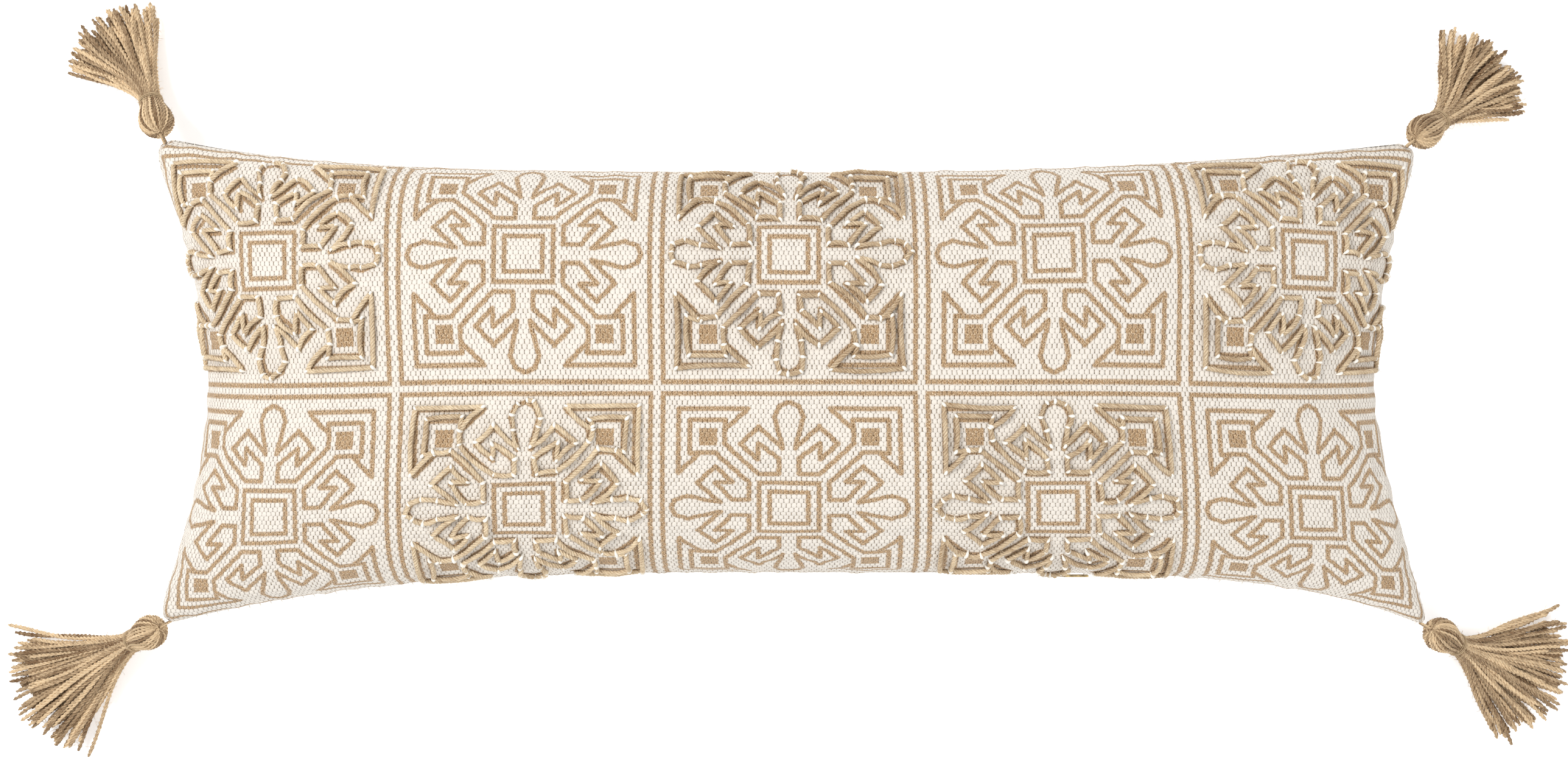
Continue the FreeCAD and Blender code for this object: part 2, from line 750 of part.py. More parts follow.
def make_tassels():
    """The four tassels and the eyes they hang from."""
    for name in CORNERS:
        frame = TasselFrame(name)
        export("corner_eye_" + name, corner_eye(frame))
        export("tassel_loop_" + name, tassel_loop(frame))
        export("tassel_head_" + name, tassel_head(frame))
        export("tassel_binding_" + name, tassel_binding(frame))
        export("tassel_skirt_" + name, tassel_skirt(frame))
        swivel = frame.corner + frame.out * EYE_OFFSET
        print(name, "swivel", tuple(swivel), "hinge", tuple(frame.hinge), "out", tuple(frame.out))


def make_soft_body(line):
    """Cover, insert and filling."""
    slot = zip_slot(line)
    cover_insets = (0.0, COVER_THICKNESS)
    front = fabric_layer(front_pole, cover_insets, cover_insets, False)
    back = fabric_layer(back_pole, cover_insets, cover_insets, True)
    export("cover_front", front.cut(slot))
    export("cover_back", back.cut(slot))
    edge_insets = (INSERT_EDGE_INSET, INSERT_EDGE_INSET + TICKING_THICKNESS)
    face_insets = (INSERT_FACE_INSET, INSERT_FACE_INSET + TICKING_THICKNESS)
    export("insert_front", fabric_layer(front_pole, edge_insets, face_insets, False))
    export("insert_back", fabric_layer(back_pole, edge_insets, face_insets, False))
    fill = filled_body(edge_insets[1] + FILL_GAP, face_insets[1] + FILL_GAP)
    export("insert_fill", fill)
    print("fill volume in litres", round(fill.Volume * 1e-6, 3))


def main():
    """Build and export every node."""
    os.makedirs("parts", exist_ok=True)
    panel = FrontPanel()
    line = ZipLine()
    make_soft_body(line)
    cover_seam = layer_surface(front_pole, 0.5 * COVER_THICKNESS, 0.0)
    insert_seam = layer_surface(front_pole, INSERT_EDGE_INSET, 0.0)
    export("cover_seam_thread", seam_stitches(cover_seam, True))
    export("insert_seam_thread", seam_stitches(insert_seam, False))
    make_couching(panel)
    make_zip(line)
    make_tassels()


main()
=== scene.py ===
"""Dressed model of an oblong throw pillow: woven cover, couched yarn, edge zip and corner tassels."""

import json
import logging
import math
from dataclasses import dataclass, field
from enum import Enum

import bpy
import numpy as np
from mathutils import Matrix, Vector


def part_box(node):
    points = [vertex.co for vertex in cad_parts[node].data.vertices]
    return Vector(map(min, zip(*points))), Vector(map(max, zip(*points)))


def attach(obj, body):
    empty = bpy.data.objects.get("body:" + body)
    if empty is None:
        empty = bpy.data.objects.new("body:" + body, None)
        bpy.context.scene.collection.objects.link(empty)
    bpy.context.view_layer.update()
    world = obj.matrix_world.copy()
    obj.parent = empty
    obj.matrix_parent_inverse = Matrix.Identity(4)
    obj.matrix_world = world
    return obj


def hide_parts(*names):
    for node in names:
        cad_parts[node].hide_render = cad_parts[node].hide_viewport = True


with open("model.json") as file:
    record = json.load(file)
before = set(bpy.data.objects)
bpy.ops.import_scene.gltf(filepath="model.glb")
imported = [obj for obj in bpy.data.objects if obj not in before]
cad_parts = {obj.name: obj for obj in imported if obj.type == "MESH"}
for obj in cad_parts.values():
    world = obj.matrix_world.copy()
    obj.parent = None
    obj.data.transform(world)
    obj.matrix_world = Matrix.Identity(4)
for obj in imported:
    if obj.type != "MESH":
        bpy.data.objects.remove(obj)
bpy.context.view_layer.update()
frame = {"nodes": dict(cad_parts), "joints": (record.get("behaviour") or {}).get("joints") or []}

LOG = logging.getLogger("pillow")
MM = 0.001
ROOT = "pillow"
UP = np.array([0.0, 0.0, 1.0])


# ---------------------------------------------------------------------------
# Node graphs
# ---------------------------------------------------------------------------
class Graph:
    """Short-hand for adding and joining nodes in one node tree."""

    def __init__(self, tree: bpy.types.NodeTree) -> None:
        """Keep the tree that every later call adds to."""
        self.tree = tree

    def node(self, kind: str, inputs: dict | None = None, **settings) -> bpy.types.Node:
        """Add one node.

        Args:
            kind: the node's type name.
            inputs: socket name or number, and the value or output socket that feeds it.
            settings: the node's own properties.

        Returns:
            The new node.
        """
        node = self.tree.nodes.new(kind)
        for name, value in settings.items():
            setattr(node, name, value)
        for key, value in (inputs or {}).items():
            self.feed(node.inputs[key], value)
        return node

    def feed(self, socket: bpy.types.NodeSocket, value: object) -> None:
        """Join an output to a socket, or set the socket's own value.

        Args:
            socket: the input socket.
            value: an output socket, or a plain number, colour or vector.
        """
        if isinstance(value, bpy.types.NodeSocket):
            self.tree.links.new(value, socket)
        else:
            socket.default_value = value

    def math(self, operation: str, *values: object) -> bpy.types.NodeSocket:
        """Result of a Math node on up to three numbers or outputs."""
        inputs = dict(enumerate(values))
        return self.node("ShaderNodeMath", inputs, operation=operation).outputs[0]

    def vector_math(self, operation: str, *values: object) -> bpy.types.NodeSocket:
        """Vector result of a Vector Math node."""
        inputs = dict(enumerate(values))
        return self.node("ShaderNodeVectorMath", inputs, operation=operation).outputs["Vector"]

    def dot(self, first: object, second: object) -> bpy.types.NodeSocket:
        """Dot product of two vectors."""
        node = self.node("ShaderNodeVectorMath", {0: first, 1: second}, operation="DOT_PRODUCT")
        return node.outputs["Value"]

    def scale(self, vector: object, factor: object) -> bpy.types.NodeSocket:
        """Vector times a number."""
        node = self.node("ShaderNodeVectorMath", {0: vector, "Scale": factor}, operation="SCALE")
        return node.outputs["Vector"]

    def combine(self, x: object, y: object, z: object = 0.0) -> bpy.types.NodeSocket:
        """Vector from three numbers."""
        return self.node("ShaderNodeCombineXYZ", {0: x, 1: y, 2: z}).outputs[0]

    def separate(self, vector: object) -> list[bpy.types.NodeSocket]:
        """The three numbers of a vector."""
        return list(self.node("ShaderNodeSeparateXYZ", {0: vector}).outputs)

    def ramp(self, value: object, low: float, high: float) -> bpy.types.NodeSocket:
        """Smooth step of a value from 0 at low to 1 at high; low may be the larger."""
        inputs = {"Value": value, "From Min": low, "From Max": high}
        node = self.node("ShaderNodeMapRange", inputs, interpolation_type="SMOOTHSTEP")
        return node.outputs["Result"]

    def mix_colour(self, factor: object, first: object, second: object) -> bpy.types.NodeSocket:
        """Blend of two colours."""
        node = self.node("ShaderNodeMix", data_type="RGBA")
        self.feed(node.inputs["Factor"], factor)
        self.feed(node.inputs[6], first)
        self.feed(node.inputs[7], second)
        return node.outputs[2]

    def noise(self, vector: object, scale: float, detail: float = 2.0) -> bpy.types.NodeSocket:
        """Noise value, about 0.5 on average."""
        inputs = {"Vector": vector, "Scale": scale, "Detail": detail, "Roughness": 0.55}
        return self.node("ShaderNodeTexNoise", inputs).outputs["Fac"]

    def clamp(self, value: object) -> bpy.types.NodeSocket:
        """Value held between 0 and 1."""
        return self.math("MINIMUM", self.math("MAXIMUM", value, 0.0), 1.0)

    def place(self) -> bpy.types.NodeSocket:
        """Position in the piece's own object coordinates."""
        return self.node("ShaderNodeTexCoord").outputs["Object"]

    def circle(self, sides: object, radius: object) -> bpy.types.NodeSocket:
        """Circle to sweep along a curve."""
        inputs = {"Resolution": sides, "Radius": radius}
        return self.node("GeometryNodeCurvePrimitiveCircle", inputs).outputs[0]

    def tube(self, curve: object, profile: object) -> bpy.types.NodeSocket:
        """Capped tube of a profile along a curve, scaled by the curve's own radius."""
        inputs = {"Curve": curve, "Profile Curve": profile, "Fill Caps": True}
        node = self.node("GeometryNodeCurveToMesh", inputs)
        if "Scale" in node.inputs:
            self.feed(node.inputs["Scale"], self.node("GeometryNodeInputRadius").outputs[0])
        return node.outputs[0]

    def random(self, seed: object, low: float = 0.0, high: float = 1.0) -> bpy.types.NodeSocket:
        """Random number between low and high for every element."""
        inputs = {"Seed": seed, 2: low, 3: high}
        return self.node("FunctionNodeRandomValue", inputs, data_type="FLOAT").outputs[1]

    def attribute(self, name: str) -> bpy.types.Node:
        """A named attribute of the piece."""
        return self.node("ShaderNodeAttribute", attribute_name=name)


def rgba(red: float, green: float, blue: float) -> tuple[float, float, float, float]:
    """Linear colour from screen values between 0 and 255."""
    channels = [(value / 255.0) ** 2.2 for value in (red, green, blue)]
    return (*channels, 1.0)


# ---------------------------------------------------------------------------
# Sizes that the frame gives
# ---------------------------------------------------------------------------
@dataclass(frozen=True)
class CoverShape:
    """The stuffed cover's resting shape, in metres, with the panel's cut size.

    A point is named by s along the pillow and t across it, each from -1 to 1.
    """

    corners: dict = field(
        default_factory=lambda: {
            "top_left": (-0.449, 0.1755),
            "top_right": (0.446, 0.172),
            "bottom_left": (-0.4475, -0.173),
            "bottom_right": (0.457, -0.1745),
        }
    )
    end_pull_in: float = 0.037
    end_power: float = 1.5
    top_pull_in: float = 0.0235
    top_powers: tuple = (4.0, 2.2)
    bottom_pull_in: float = 0.040
    bottom_powers: tuple = (3.0, 5.0)
    seam_height: float = 0.052
    corner_drop: float = 0.010
    crown: float = 0.081
    length_fullness: float = 4.5
    back_fullness: float = 1.45
    panel_half_length: float = 0.457
    panel_half_width: float = 0.178

    def outline(self, s: np.ndarray, t: np.ndarray) -> tuple[np.ndarray, np.ndarray]:
        """Plan position of the points (s, t).

        Args:
            s: parameters along the pillow.
            t: parameters across the pillow.

        Returns:
            The x and y of every point.
        """
        u = np.sin(0.5 * np.pi * s)
        v = np.sin(0.5 * np.pi * t)
        up = 0.5 * (v + 1.0)
        right = 0.5 * (u + 1.0)
        x_of = {name: abs(place[0]) for name, place in self.corners.items()}
        y_of = {name: abs(place[1]) for name, place in self.corners.items()}
        x_right = x_of["bottom_right"] + (x_of["top_right"] - x_of["bottom_right"]) * up
        x_left = x_of["bottom_left"] + (x_of["top_left"] - x_of["bottom_left"]) * up
        y_top = y_of["top_left"] + (y_of["top_right"] - y_of["top_left"]) * right
        y_bottom = y_of["bottom_left"] + (y_of["bottom_right"] - y_of["bottom_left"]) * right
        top_power = np.where(u > 0, self.top_powers[1], self.top_powers[0])
        bottom_power = np.where(u > 0, self.bottom_powers[1], self.bottom_powers[0])
        power = np.where(v > 0, top_power, bottom_power)
        pull_in = np.where(v > 0, self.top_pull_in, self.bottom_pull_in)
        half_x = np.where(u > 0, x_right, x_left)
        half_x = half_x - self.end_pull_in * (1.0 - np.abs(v) ** self.end_power)
        half_y = np.where(v > 0, y_top, y_bottom) - pull_in * (1.0 - np.abs(u) ** power)
        return u * half_x, v * half_y

    def fullness(self, s: np.ndarray, t: np.ndarray) -> np.ndarray:
        """Share of the full height: 0 on the seam and 1 over the centre."""
        u = np.abs(np.sin(0.5 * np.pi * s))
        v = np.abs(np.sin(0.5 * np.pi * t))
        along = np.clip(1.0 - u**self.length_fullness, 0.0, None)
        return np.sqrt(along * np.clip(1.0 - v * v, 0.0, None))

    def panel_grid(self, counts: tuple[int, int]) -> tuple[np.ndarray, np.ndarray]:
        """Flat x and y of a grid of points spread evenly over the panel."""
        x = np.linspace(-self.panel_half_length, self.panel_half_length, counts[0])
        y = np.linspace(-self.panel_half_width, self.panel_half_width, counts[1])
        flat_x, flat_y = np.meshgrid(x, y, indexing="ij")
        return flat_x, flat_y

    def to_rim(self, x: np.ndarray, y: np.ndarray) -> tuple[np.ndarray, np.ndarray]:
        """Distances from flat positions to the panel's nearer end and nearer side."""
        return self.panel_half_length - np.abs(x), self.panel_half_width - np.abs(y)

    def face(self, s: np.ndarray, t: np.ndarray, front: bool) -> np.ndarray:
        """Points of the front or back face.

        Args:
            s: parameters along the pillow.
            t: parameters across the pillow.
            front: True for the decorated face.

        Returns:
            An array of points, one for each pair of parameters.
        """
        x, y = self.outline(s, t)
        u = np.sin(0.5 * np.pi * s)
        v = np.sin(0.5 * np.pi * t)
        seam = self.seam_height - self.corner_drop * (u * v) ** 4
        full = self.fullness(s, t)
        if front:
            z = seam + self.crown * full
        else:
            z = seam * (1.0 - np.minimum(1.0, self.back_fullness * full))
        return np.stack([x, y, z], axis=-1)


@dataclass(frozen=True)
class TileGrid:
    """Printed medallion tiles on the front panel. Half widths in metres, points in half widths."""

    half_x: float = 0.0868
    half_y: float = 0.0840
    pitch: float = 2.098
    columns: int = 5
    line_half_width: float = 0.0165
    outline_eighth: tuple = (
        (0.0, 0.93),
        (0.075, 0.90),
        (0.115, 0.80),
        (0.085, 0.69),
        (0.05, 0.54),
        (0.24, 0.725),
        (0.385, 0.58),
        (0.245, 0.445),
        (0.245, 0.585),
        (0.078, 0.45),
        (0.078, 0.315),
        (0.24, 0.315),
        (0.51, 0.585),
        (0.51, 0.70),
        (0.325, 0.875),
        (0.875, 0.875),
    )
    bracket_eighth: tuple = ((0.51, 0.70), (0.50, 0.785), (0.785, 0.785))
    frame_squares: tuple = (1.0, 0.235, 0.152)
    solid_centre: float = 0.64
    solid_half: float = 0.07

    def centres(self) -> list[tuple[float, float]]:
        """Flat centres of the tiles that carry couched yarn, as on a chessboard."""
        middle = 0.5 * (self.columns - 1)
        places = []
        for column in range(self.columns):
            row = 0.5 if column % 2 == 0 else -0.5
            x = (column - middle) * self.pitch * self.half_x
            places.append((x, row * self.pitch * self.half_y))
        return places

    def closed_outline(self) -> list[tuple[float, float]]:
        """The medallion outline as one closed list of points."""
        eighth = list(self.outline_eighth)
        side = eighth + [(y, x) for x, y in reversed(eighth[:-1])]
        points = []
        for turn in range(4):
            cosine = round(math.cos(0.5 * math.pi * turn))
            sine = -round(math.sin(0.5 * math.pi * turn))
            points += [(x * cosine - y * sine, x * sine + y * cosine) for x, y in side[:-1]]
        return points

    def brackets(self) -> list[list[tuple[float, float]]]:
        """The four corner brackets, each an open list of points."""
        arm = list(self.bracket_eighth)
        whole = arm + [(y, x) for x, y in reversed(arm[:-1])]
        signs = [(i, j) for i in (-1, 1) for j in (-1, 1)]
        return [[(i * x, j * y) for x, y in whole] for i, j in signs]


# ---------------------------------------------------------------------------
# Finishes
# ---------------------------------------------------------------------------
@dataclass(frozen=True)
class Weave:
    """Chunky weave seen as rows of knuckles, each row half a knuckle along. Lengths in millimetres."""

    column_pitch: float = 3.5
    row_pitch: float = 3.3
    knuckle_half_width: float = 1.76
    knuckle_half_height: float = 2.12
    wobble: float = 1.1

    def knuckles(self, graph: Graph, x: object, y: object, shift: float) -> tuple[object, object, object]:
        """Every second row of knuckles.

        Args:
            graph: the group's graph.
            x: place along the rows.
            y: place across the rows.
            shift: how far this set is moved, in pitches, along and across.

        Returns:
            Height, tone and the way to the knuckle's centre.
        """
        reach = 2 * self.row_pitch
        column_place = graph.math("MULTIPLY_ADD", x, 1.0 / self.column_pitch, shift)
        row_place = graph.math("MULTIPLY_ADD", y, 1.0 / reach, shift)
        across = graph.math("SUBTRACT", graph.math("FRACT", column_place), 0.5)
        along = graph.math("SUBTRACT", graph.math("FRACT", row_place), 0.5)
        cell = graph.combine(
            graph.math("ADD", graph.math("FLOOR", column_place), 0.37 * shift),
            graph.math("FLOOR", row_place),
        )
        tone = graph.node("ShaderNodeTexWhiteNoise", {"Vector": cell}, noise_dimensions="2D").outputs["Value"]
        size = graph.math("MULTIPLY_ADD", tone, 0.16, 0.90)
        side = graph.math("MULTIPLY", across, self.column_pitch / self.knuckle_half_width)
        side = graph.math("DIVIDE", side, size)
        rise = graph.math("MULTIPLY", along, reach / self.knuckle_half_height)
        spread = graph.math(
            "ADD",
            graph.math("POWER", graph.math("ABSOLUTE", side), 2.6),
            graph.math("POWER", graph.math("ABSOLUTE", rise), 2.4),
        )
        dome = graph.math("SQRT", graph.math("MAXIMUM", graph.math("SUBTRACT", 1.0, spread), 0.0))
        centre = graph.combine(
            graph.math("MULTIPLY", across, -self.column_pitch),
            graph.math("MULTIPLY", along, -reach),
        )
        return dome, tone, centre

    def group(self) -> bpy.types.NodeTree:
        """Node group from a panel position to knuckle height, streaks and tone.

        Returns:
            The group, made once and shared by every woven finish.
        """
        known = bpy.data.node_groups.get("chunky_weave")
        if known:
            return known
        tree = bpy.data.node_groups.new("chunky_weave", "ShaderNodeTree")
        tree.interface.new_socket("Place", in_out="INPUT", socket_type="NodeSocketVector")
        for name in ("Height", "Streak", "Tone"):
            tree.interface.new_socket(name, in_out="OUTPUT", socket_type="NodeSocketFloat")
        tree.interface.new_socket("Cell", in_out="OUTPUT", socket_type="NodeSocketVector")
        graph = Graph(tree)
        place = graph.node("NodeGroupInput").outputs[0]
        drift = graph.node(
            "ShaderNodeTexNoise", {"Vector": place, "Scale": 0.09, "Detail": 3.0}
        ).outputs["Color"]
        drift = graph.scale(graph.vector_math("SUBTRACT", drift, (0.5, 0.5, 0.5)), 2 * self.wobble)
        x, y, _ = graph.separate(graph.vector_math("ADD", place, drift))
        even = self.knuckles(graph, x, y, 0.0)
        odd = self.knuckles(graph, x, y, 0.5)
        upper = graph.math("GREATER_THAN", odd[0], even[0])
        lower = graph.math("SUBTRACT", 1.0, upper)
        height = graph.math("MAXIMUM", even[0], odd[0])
        tone = graph.math("MULTIPLY_ADD", odd[1], upper, graph.math("MULTIPLY", even[1], lower))
        centre = graph.vector_math("ADD", graph.scale(even[2], lower), graph.scale(odd[2], upper))
        lean = graph.math("MULTIPLY_ADD", x, 0.4, y)
        streak = graph.noise(graph.combine(graph.math("MULTIPLY", x, 3.6), lean), 0.8, 4.0)
        out = graph.node("NodeGroupOutput")
        for name, value in (("Height", height), ("Streak", streak), ("Tone", tone), ("Cell", centre)):
            graph.feed(out.inputs[name], value)
        return tree


def distance_group() -> bpy.types.NodeTree:
    """Node group that gives the distance from a point to a straight line between two ends."""
    known = bpy.data.node_groups.get("line_distance")
    if known:
        return known
    tree = bpy.data.node_groups.new("line_distance", "ShaderNodeTree")
    for name in ("Point", "Start", "Way"):
        tree.interface.new_socket(name, in_out="INPUT", socket_type="NodeSocketVector")
    tree.interface.new_socket("Nearest", in_out="INPUT", socket_type="NodeSocketFloat")
    tree.interface.new_socket("Distance", in_out="OUTPUT", socket_type="NodeSocketFloat")
    graph = Graph(tree)
    given = graph.node("NodeGroupInput").outputs
    offset = graph.vector_math("SUBTRACT", given["Point"], given["Start"])
    share = graph.math(
        "DIVIDE", graph.dot(offset, given["Way"]), graph.dot(given["Way"], given["Way"])
    )
    share = graph.clamp(share)
    gap = graph.vector_math("SUBTRACT", offset, graph.scale(given["Way"], share))
    length = graph.node("ShaderNodeVectorMath", {0: gap}, operation="LENGTH").outputs["Value"]
    nearest = graph.math("MINIMUM", length, given["Nearest"])
    graph.feed(graph.node("NodeGroupOutput").inputs["Distance"], nearest)
    return tree


def principled(graph: Graph, roughness: float, sheen: float = 0.0, metal: float = 0.0) -> bpy.types.Node:
    """Principled shader joined to a new output, with its even values on its own sockets.

    Args:
        graph: the material's graph.
        roughness: roughness where no node feeds it.
        sheen: weight of the fabric sheen.
        metal: metallic share.

    Returns:
        The shader node.
    """
    shader = graph.node(
        "ShaderNodeBsdfPrincipled",
        {"Roughness": roughness, "Sheen Weight": sheen, "Sheen Roughness": 0.5, "Metallic": metal},
    )
    shader.inputs["Specular IOR Level"].default_value = 0.5 if metal else 0.2
    out = graph.node("ShaderNodeOutputMaterial")
    graph.tree.links.new(shader.outputs[0], out.inputs["Surface"])
    return shader


def new_material(name: str) -> tuple[bpy.types.Material, Graph]:
    """Empty node material and its graph."""
    material = bpy.data.materials.new(name)
    material.use_nodes = True
    material.node_tree.nodes.clear()
    return material, Graph(material.node_tree)


def add_bump(graph: Graph, shader: bpy.types.Node, height: object, strength: float, reach: float) -> None:
    """Feed a height through a Bump node into a shader's normal."""
    inputs = {"Height": height, "Strength": strength, "Distance": reach}
    bump = graph.node("ShaderNodeBump", inputs)
    graph.feed(shader.inputs["Normal"], bump.outputs[0])


@dataclass(frozen=True)
class WovenCloth:
    """Heavy woven cotton, plain or printed with the medallion tiles, with painted shade between the knuckles.
    """

    shape: CoverShape
    tiles: TileGrid
    weave: Weave = Weave()
    ivory: tuple = rgba(230, 222, 211)
    # The gap colours are painted shade between the knuckles, and the pit colours are deeper painted shade in
    # patches of those gaps.
    ivory_gap_shade: tuple = rgba(184, 166, 142)
    ivory_pit_shade: tuple = rgba(112, 92, 70)
    tan: tuple = rgba(236, 212, 178)
    tan_gap_shade: tuple = rgba(148, 114, 78)
    tan_pit_shade: tuple = rgba(84, 56, 30)

    def material(self, name: str, printed: bool) -> bpy.types.Material:
        """Build the cloth.

        Args:
            name: the material's name.
            printed: True for the front panel.

        Returns:
            The finished material.
        """
        material, graph = new_material(name)
        shader = principled(graph, 0.92, sheen=0.15)
        chart = graph.node("ShaderNodeUVMap", uv_map="Panel").outputs[0]
        size = (2000 * self.shape.panel_half_length, 2000 * self.shape.panel_half_width, 1.0)
        place = graph.vector_math("MULTIPLY", graph.vector_math("SUBTRACT", chart, (0.5, 0.5, 0.0)), size)
        weave = graph.node("ShaderNodeGroup", node_tree=self.weave.group())
        graph.feed(weave.inputs[0], place)
        height = weave.outputs["Height"]
        # Painted shade: the low parts of the weave, between the knuckles, take the gap colours, and a noise
        # mask picks deeper painted shade in patches.
        cover = graph.ramp(height, 0.10, 0.62)
        pit = graph.ramp(graph.noise(place, 0.75, 2.0), 0.40, 0.60)
        streak = weave.outputs["Streak"]
        shade = graph.math("MULTIPLY_ADD", streak, 0.22, 0.87)
        shade = graph.math("MULTIPLY_ADD", weave.outputs["Tone"], 0.05, shade)
        gap = graph.mix_colour(pit, self.ivory_gap_shade, self.ivory_pit_shade)
        colour = graph.mix_colour(cover, gap, self.ivory)
        if printed:
            # The same painted shade between the knuckles of the print, in tan.
            gap = graph.mix_colour(pit, self.tan_gap_shade, self.tan_pit_shade)
            # Where the fibre streaks run low, which also lowers the bump, the print darkens towards the tan
            # gap colour: streaky print partly darkened with painted shade.
            streak_shade = graph.ramp(graph.math("MULTIPLY_ADD", height, -0.12, streak), 0.62, 0.30)
            tan = graph.mix_colour(streak_shade, self.tan, self.tan_gap_shade)
            ink = graph.mix_colour(cover, gap, tan)
            blot = graph.noise(place, 0.6, 2.0)
            mask = self.print_mask(graph, place, weave)
            strength = graph.math("MULTIPLY", mask, graph.ramp(blot, 0.10, 0.42))
            colour = graph.mix_colour(strength, colour, ink)
        colour = graph.node(
            "ShaderNodeMix", data_type="RGBA", blend_type="MULTIPLY", inputs={"Factor": 1.0, 6: colour}
        )
        grey = graph.node("ShaderNodeCombineColor", {0: shade, 1: shade, 2: shade}).outputs[0]
        graph.feed(colour.inputs[7], grey)
        graph.feed(shader.inputs["Base Color"], colour.outputs[2])
        rough = graph.math("MULTIPLY_ADD", cover, -0.08, 0.96)
        graph.feed(shader.inputs["Roughness"], rough)
        relief = graph.math("MULTIPLY_ADD", streak, 0.35, height)
        add_bump(graph, shader, relief, 0.8, 1.1 * MM)
        return material

    def print_mask(self, graph: Graph, place: object, weave: bpy.types.Node) -> bpy.types.NodeSocket:
        """Where the tan print lies.

        Args:
            graph: the material's graph.
            place: panel position in millimetres.
            weave: the weave group, whose knuckle centres the print jumps between a little.

        Returns:
            A mask from 0 to 1.
        """
        tiles = self.tiles
        caught = graph.vector_math("ADD", place, graph.scale(weave.outputs["Cell"], 0.22))
        x, y, _ = graph.separate(caught)
        x = graph.math("DIVIDE", x, tiles.half_x / MM)
        y = graph.math("DIVIDE", y, tiles.half_y / MM)
        half = 0.5 * tiles.pitch
        local_x = graph.math("ABSOLUTE", graph.math("WRAP", x, half, -half))
        off_middle = graph.math("SUBTRACT", graph.math("WRAP", y, tiles.pitch, 0.0), half)
        local_y = graph.math("ABSOLUTE", off_middle)
        far = graph.math("MAXIMUM", local_x, local_y)
        near = graph.math("MINIMUM", local_x, local_y)
        point = graph.combine(near, far)
        nearest: object = 9.0
        for chain in (tiles.outline_eighth, tiles.bracket_eighth):
            for start, end in zip(chain[:-1], chain[1:]):
                line = graph.node("ShaderNodeGroup", node_tree=distance_group())
                graph.feed(line.inputs["Point"], point)
                line.inputs["Start"].default_value = (*start, 0.0)
                line.inputs["Way"].default_value = (end[0] - start[0], end[1] - start[1], 0.0)
                graph.feed(line.inputs["Nearest"], nearest)
                nearest = line.outputs[0]
        for half_side in tiles.frame_squares:
            gap = graph.math("ABSOLUTE", graph.math("SUBTRACT", far, half_side))
            nearest = graph.math("MINIMUM", nearest, gap)
        edge = tiles.line_half_width
        lines = graph.ramp(nearest, edge + 0.012, edge - 0.004)
        off_x = graph.math("ABSOLUTE", graph.math("SUBTRACT", near, tiles.solid_centre))
        off_y = graph.math("ABSOLUTE", graph.math("SUBTRACT", far, tiles.solid_centre))
        solid = graph.ramp(
            graph.math("MAXIMUM", off_x, off_y), tiles.solid_half + 0.008, tiles.solid_half - 0.004
        )
        return graph.math("MAXIMUM", lines, solid)


@dataclass(frozen=True)
class SpunYarn:
    """Spun fibre such as jute or cotton thread, streaked along each ply, the streaks partly painted light and
    shade.
    """

    name: str
    light: tuple
    dark: tuple
    contrast: float = 1.0
    relief: float = 0.5 * MM
    sheen: float = 0.1
    # Weight of each strand's random tone; on the tassel it is strong and, with the dark colour, paints shade
    # between the strands.
    strand_tone_and_shade: float = 0.35

    def material(self) -> bpy.types.Material:
        """Build the yarn's material from the attributes that the yarn tree stores."""
        material, graph = new_material(self.name)
        shader = principled(graph, 0.9, sheen=self.sheen)
        ring = graph.attribute("ring").outputs["Vector"]
        along = graph.attribute("along").outputs["Fac"]
        tone = graph.attribute("tone").outputs["Fac"]
        ring_x, ring_y, _ = graph.separate(ring)
        lengthwise = graph.math("MULTIPLY_ADD", along, 260.0, graph.math("MULTIPLY", tone, 57.0))
        streak_place = graph.combine(
            graph.math("MULTIPLY", ring_x, 4.2), graph.math("MULTIPLY", ring_y, 4.2), lengthwise
        )
        streak = graph.noise(streak_place, 1.3, 5.0)
        ground = graph.place()
        patch = graph.noise(ground, 60.0, 2.0)
        share: object = 0.42
        # Colour follows the streak, which also sets the bump: partly the fibres' own streaky colour, partly
        # painted shade in the grooves and painted highlight on the raised streaks.
        for part, weight in ((streak, 3.0 * self.contrast), (patch, 0.6), (tone, self.strand_tone_and_shade)):
            share = graph.math("MULTIPLY_ADD", graph.math("SUBTRACT", part, 0.5), weight, share)
        share = graph.clamp(share)
        graph.feed(shader.inputs["Base Color"], graph.mix_colour(share, self.light, self.dark))
        graph.feed(shader.inputs["Roughness"], graph.math("MULTIPLY_ADD", streak, 0.2, 0.78))
        add_bump(graph, shader, streak, 0.8, self.relief)
        return material


@dataclass(frozen=True)
class FineCloth:
    """Thin even cloth such as ticking or zip tape, with a fine square weave or a herringbone."""

    name: str
    light: tuple
    dark: tuple
    threads_per_metre: float = 1400.0
    herringbone: bool = False

    def material(self) -> bpy.types.Material:
        """Build the cloth on the piece's own object coordinates."""
        material, graph = new_material(self.name)
        shader = principled(graph, 0.88, sheen=0.1)
        place = graph.place()
        x, y, z = graph.separate(place)
        rate = self.threads_per_metre * math.pi
        if self.herringbone:
            fold = graph.math("PINGPONG", graph.math("ADD", z, y), 1.4 * MM)
            warp = graph.math("SINE", graph.math("MULTIPLY", graph.math("ADD", x, fold), rate))
            relief = graph.math("MULTIPLY_ADD", warp, 0.5, 0.5)
        else:
            warp = graph.math("SINE", graph.math("MULTIPLY", x, rate))
            weft = graph.math("SINE", graph.math("MULTIPLY", graph.math("ADD", y, z), rate))
            relief = graph.math("MULTIPLY_ADD", graph.math("MULTIPLY", warp, weft), 0.5, 0.5)
        patch = graph.noise(place, 35.0, 3.0)
        # The threads' colour follows their bump relief, darker in the weave's low parts: painted shade, over
        # patches of the cloth's own tone.
        share = graph.math("MULTIPLY_ADD", relief, 0.45, graph.math("MULTIPLY", patch, 0.5))
        graph.feed(shader.inputs["Base Color"], graph.mix_colour(share, self.dark, self.light))
        add_bump(graph, shader, relief, 0.5, 0.3 * MM)
        return material


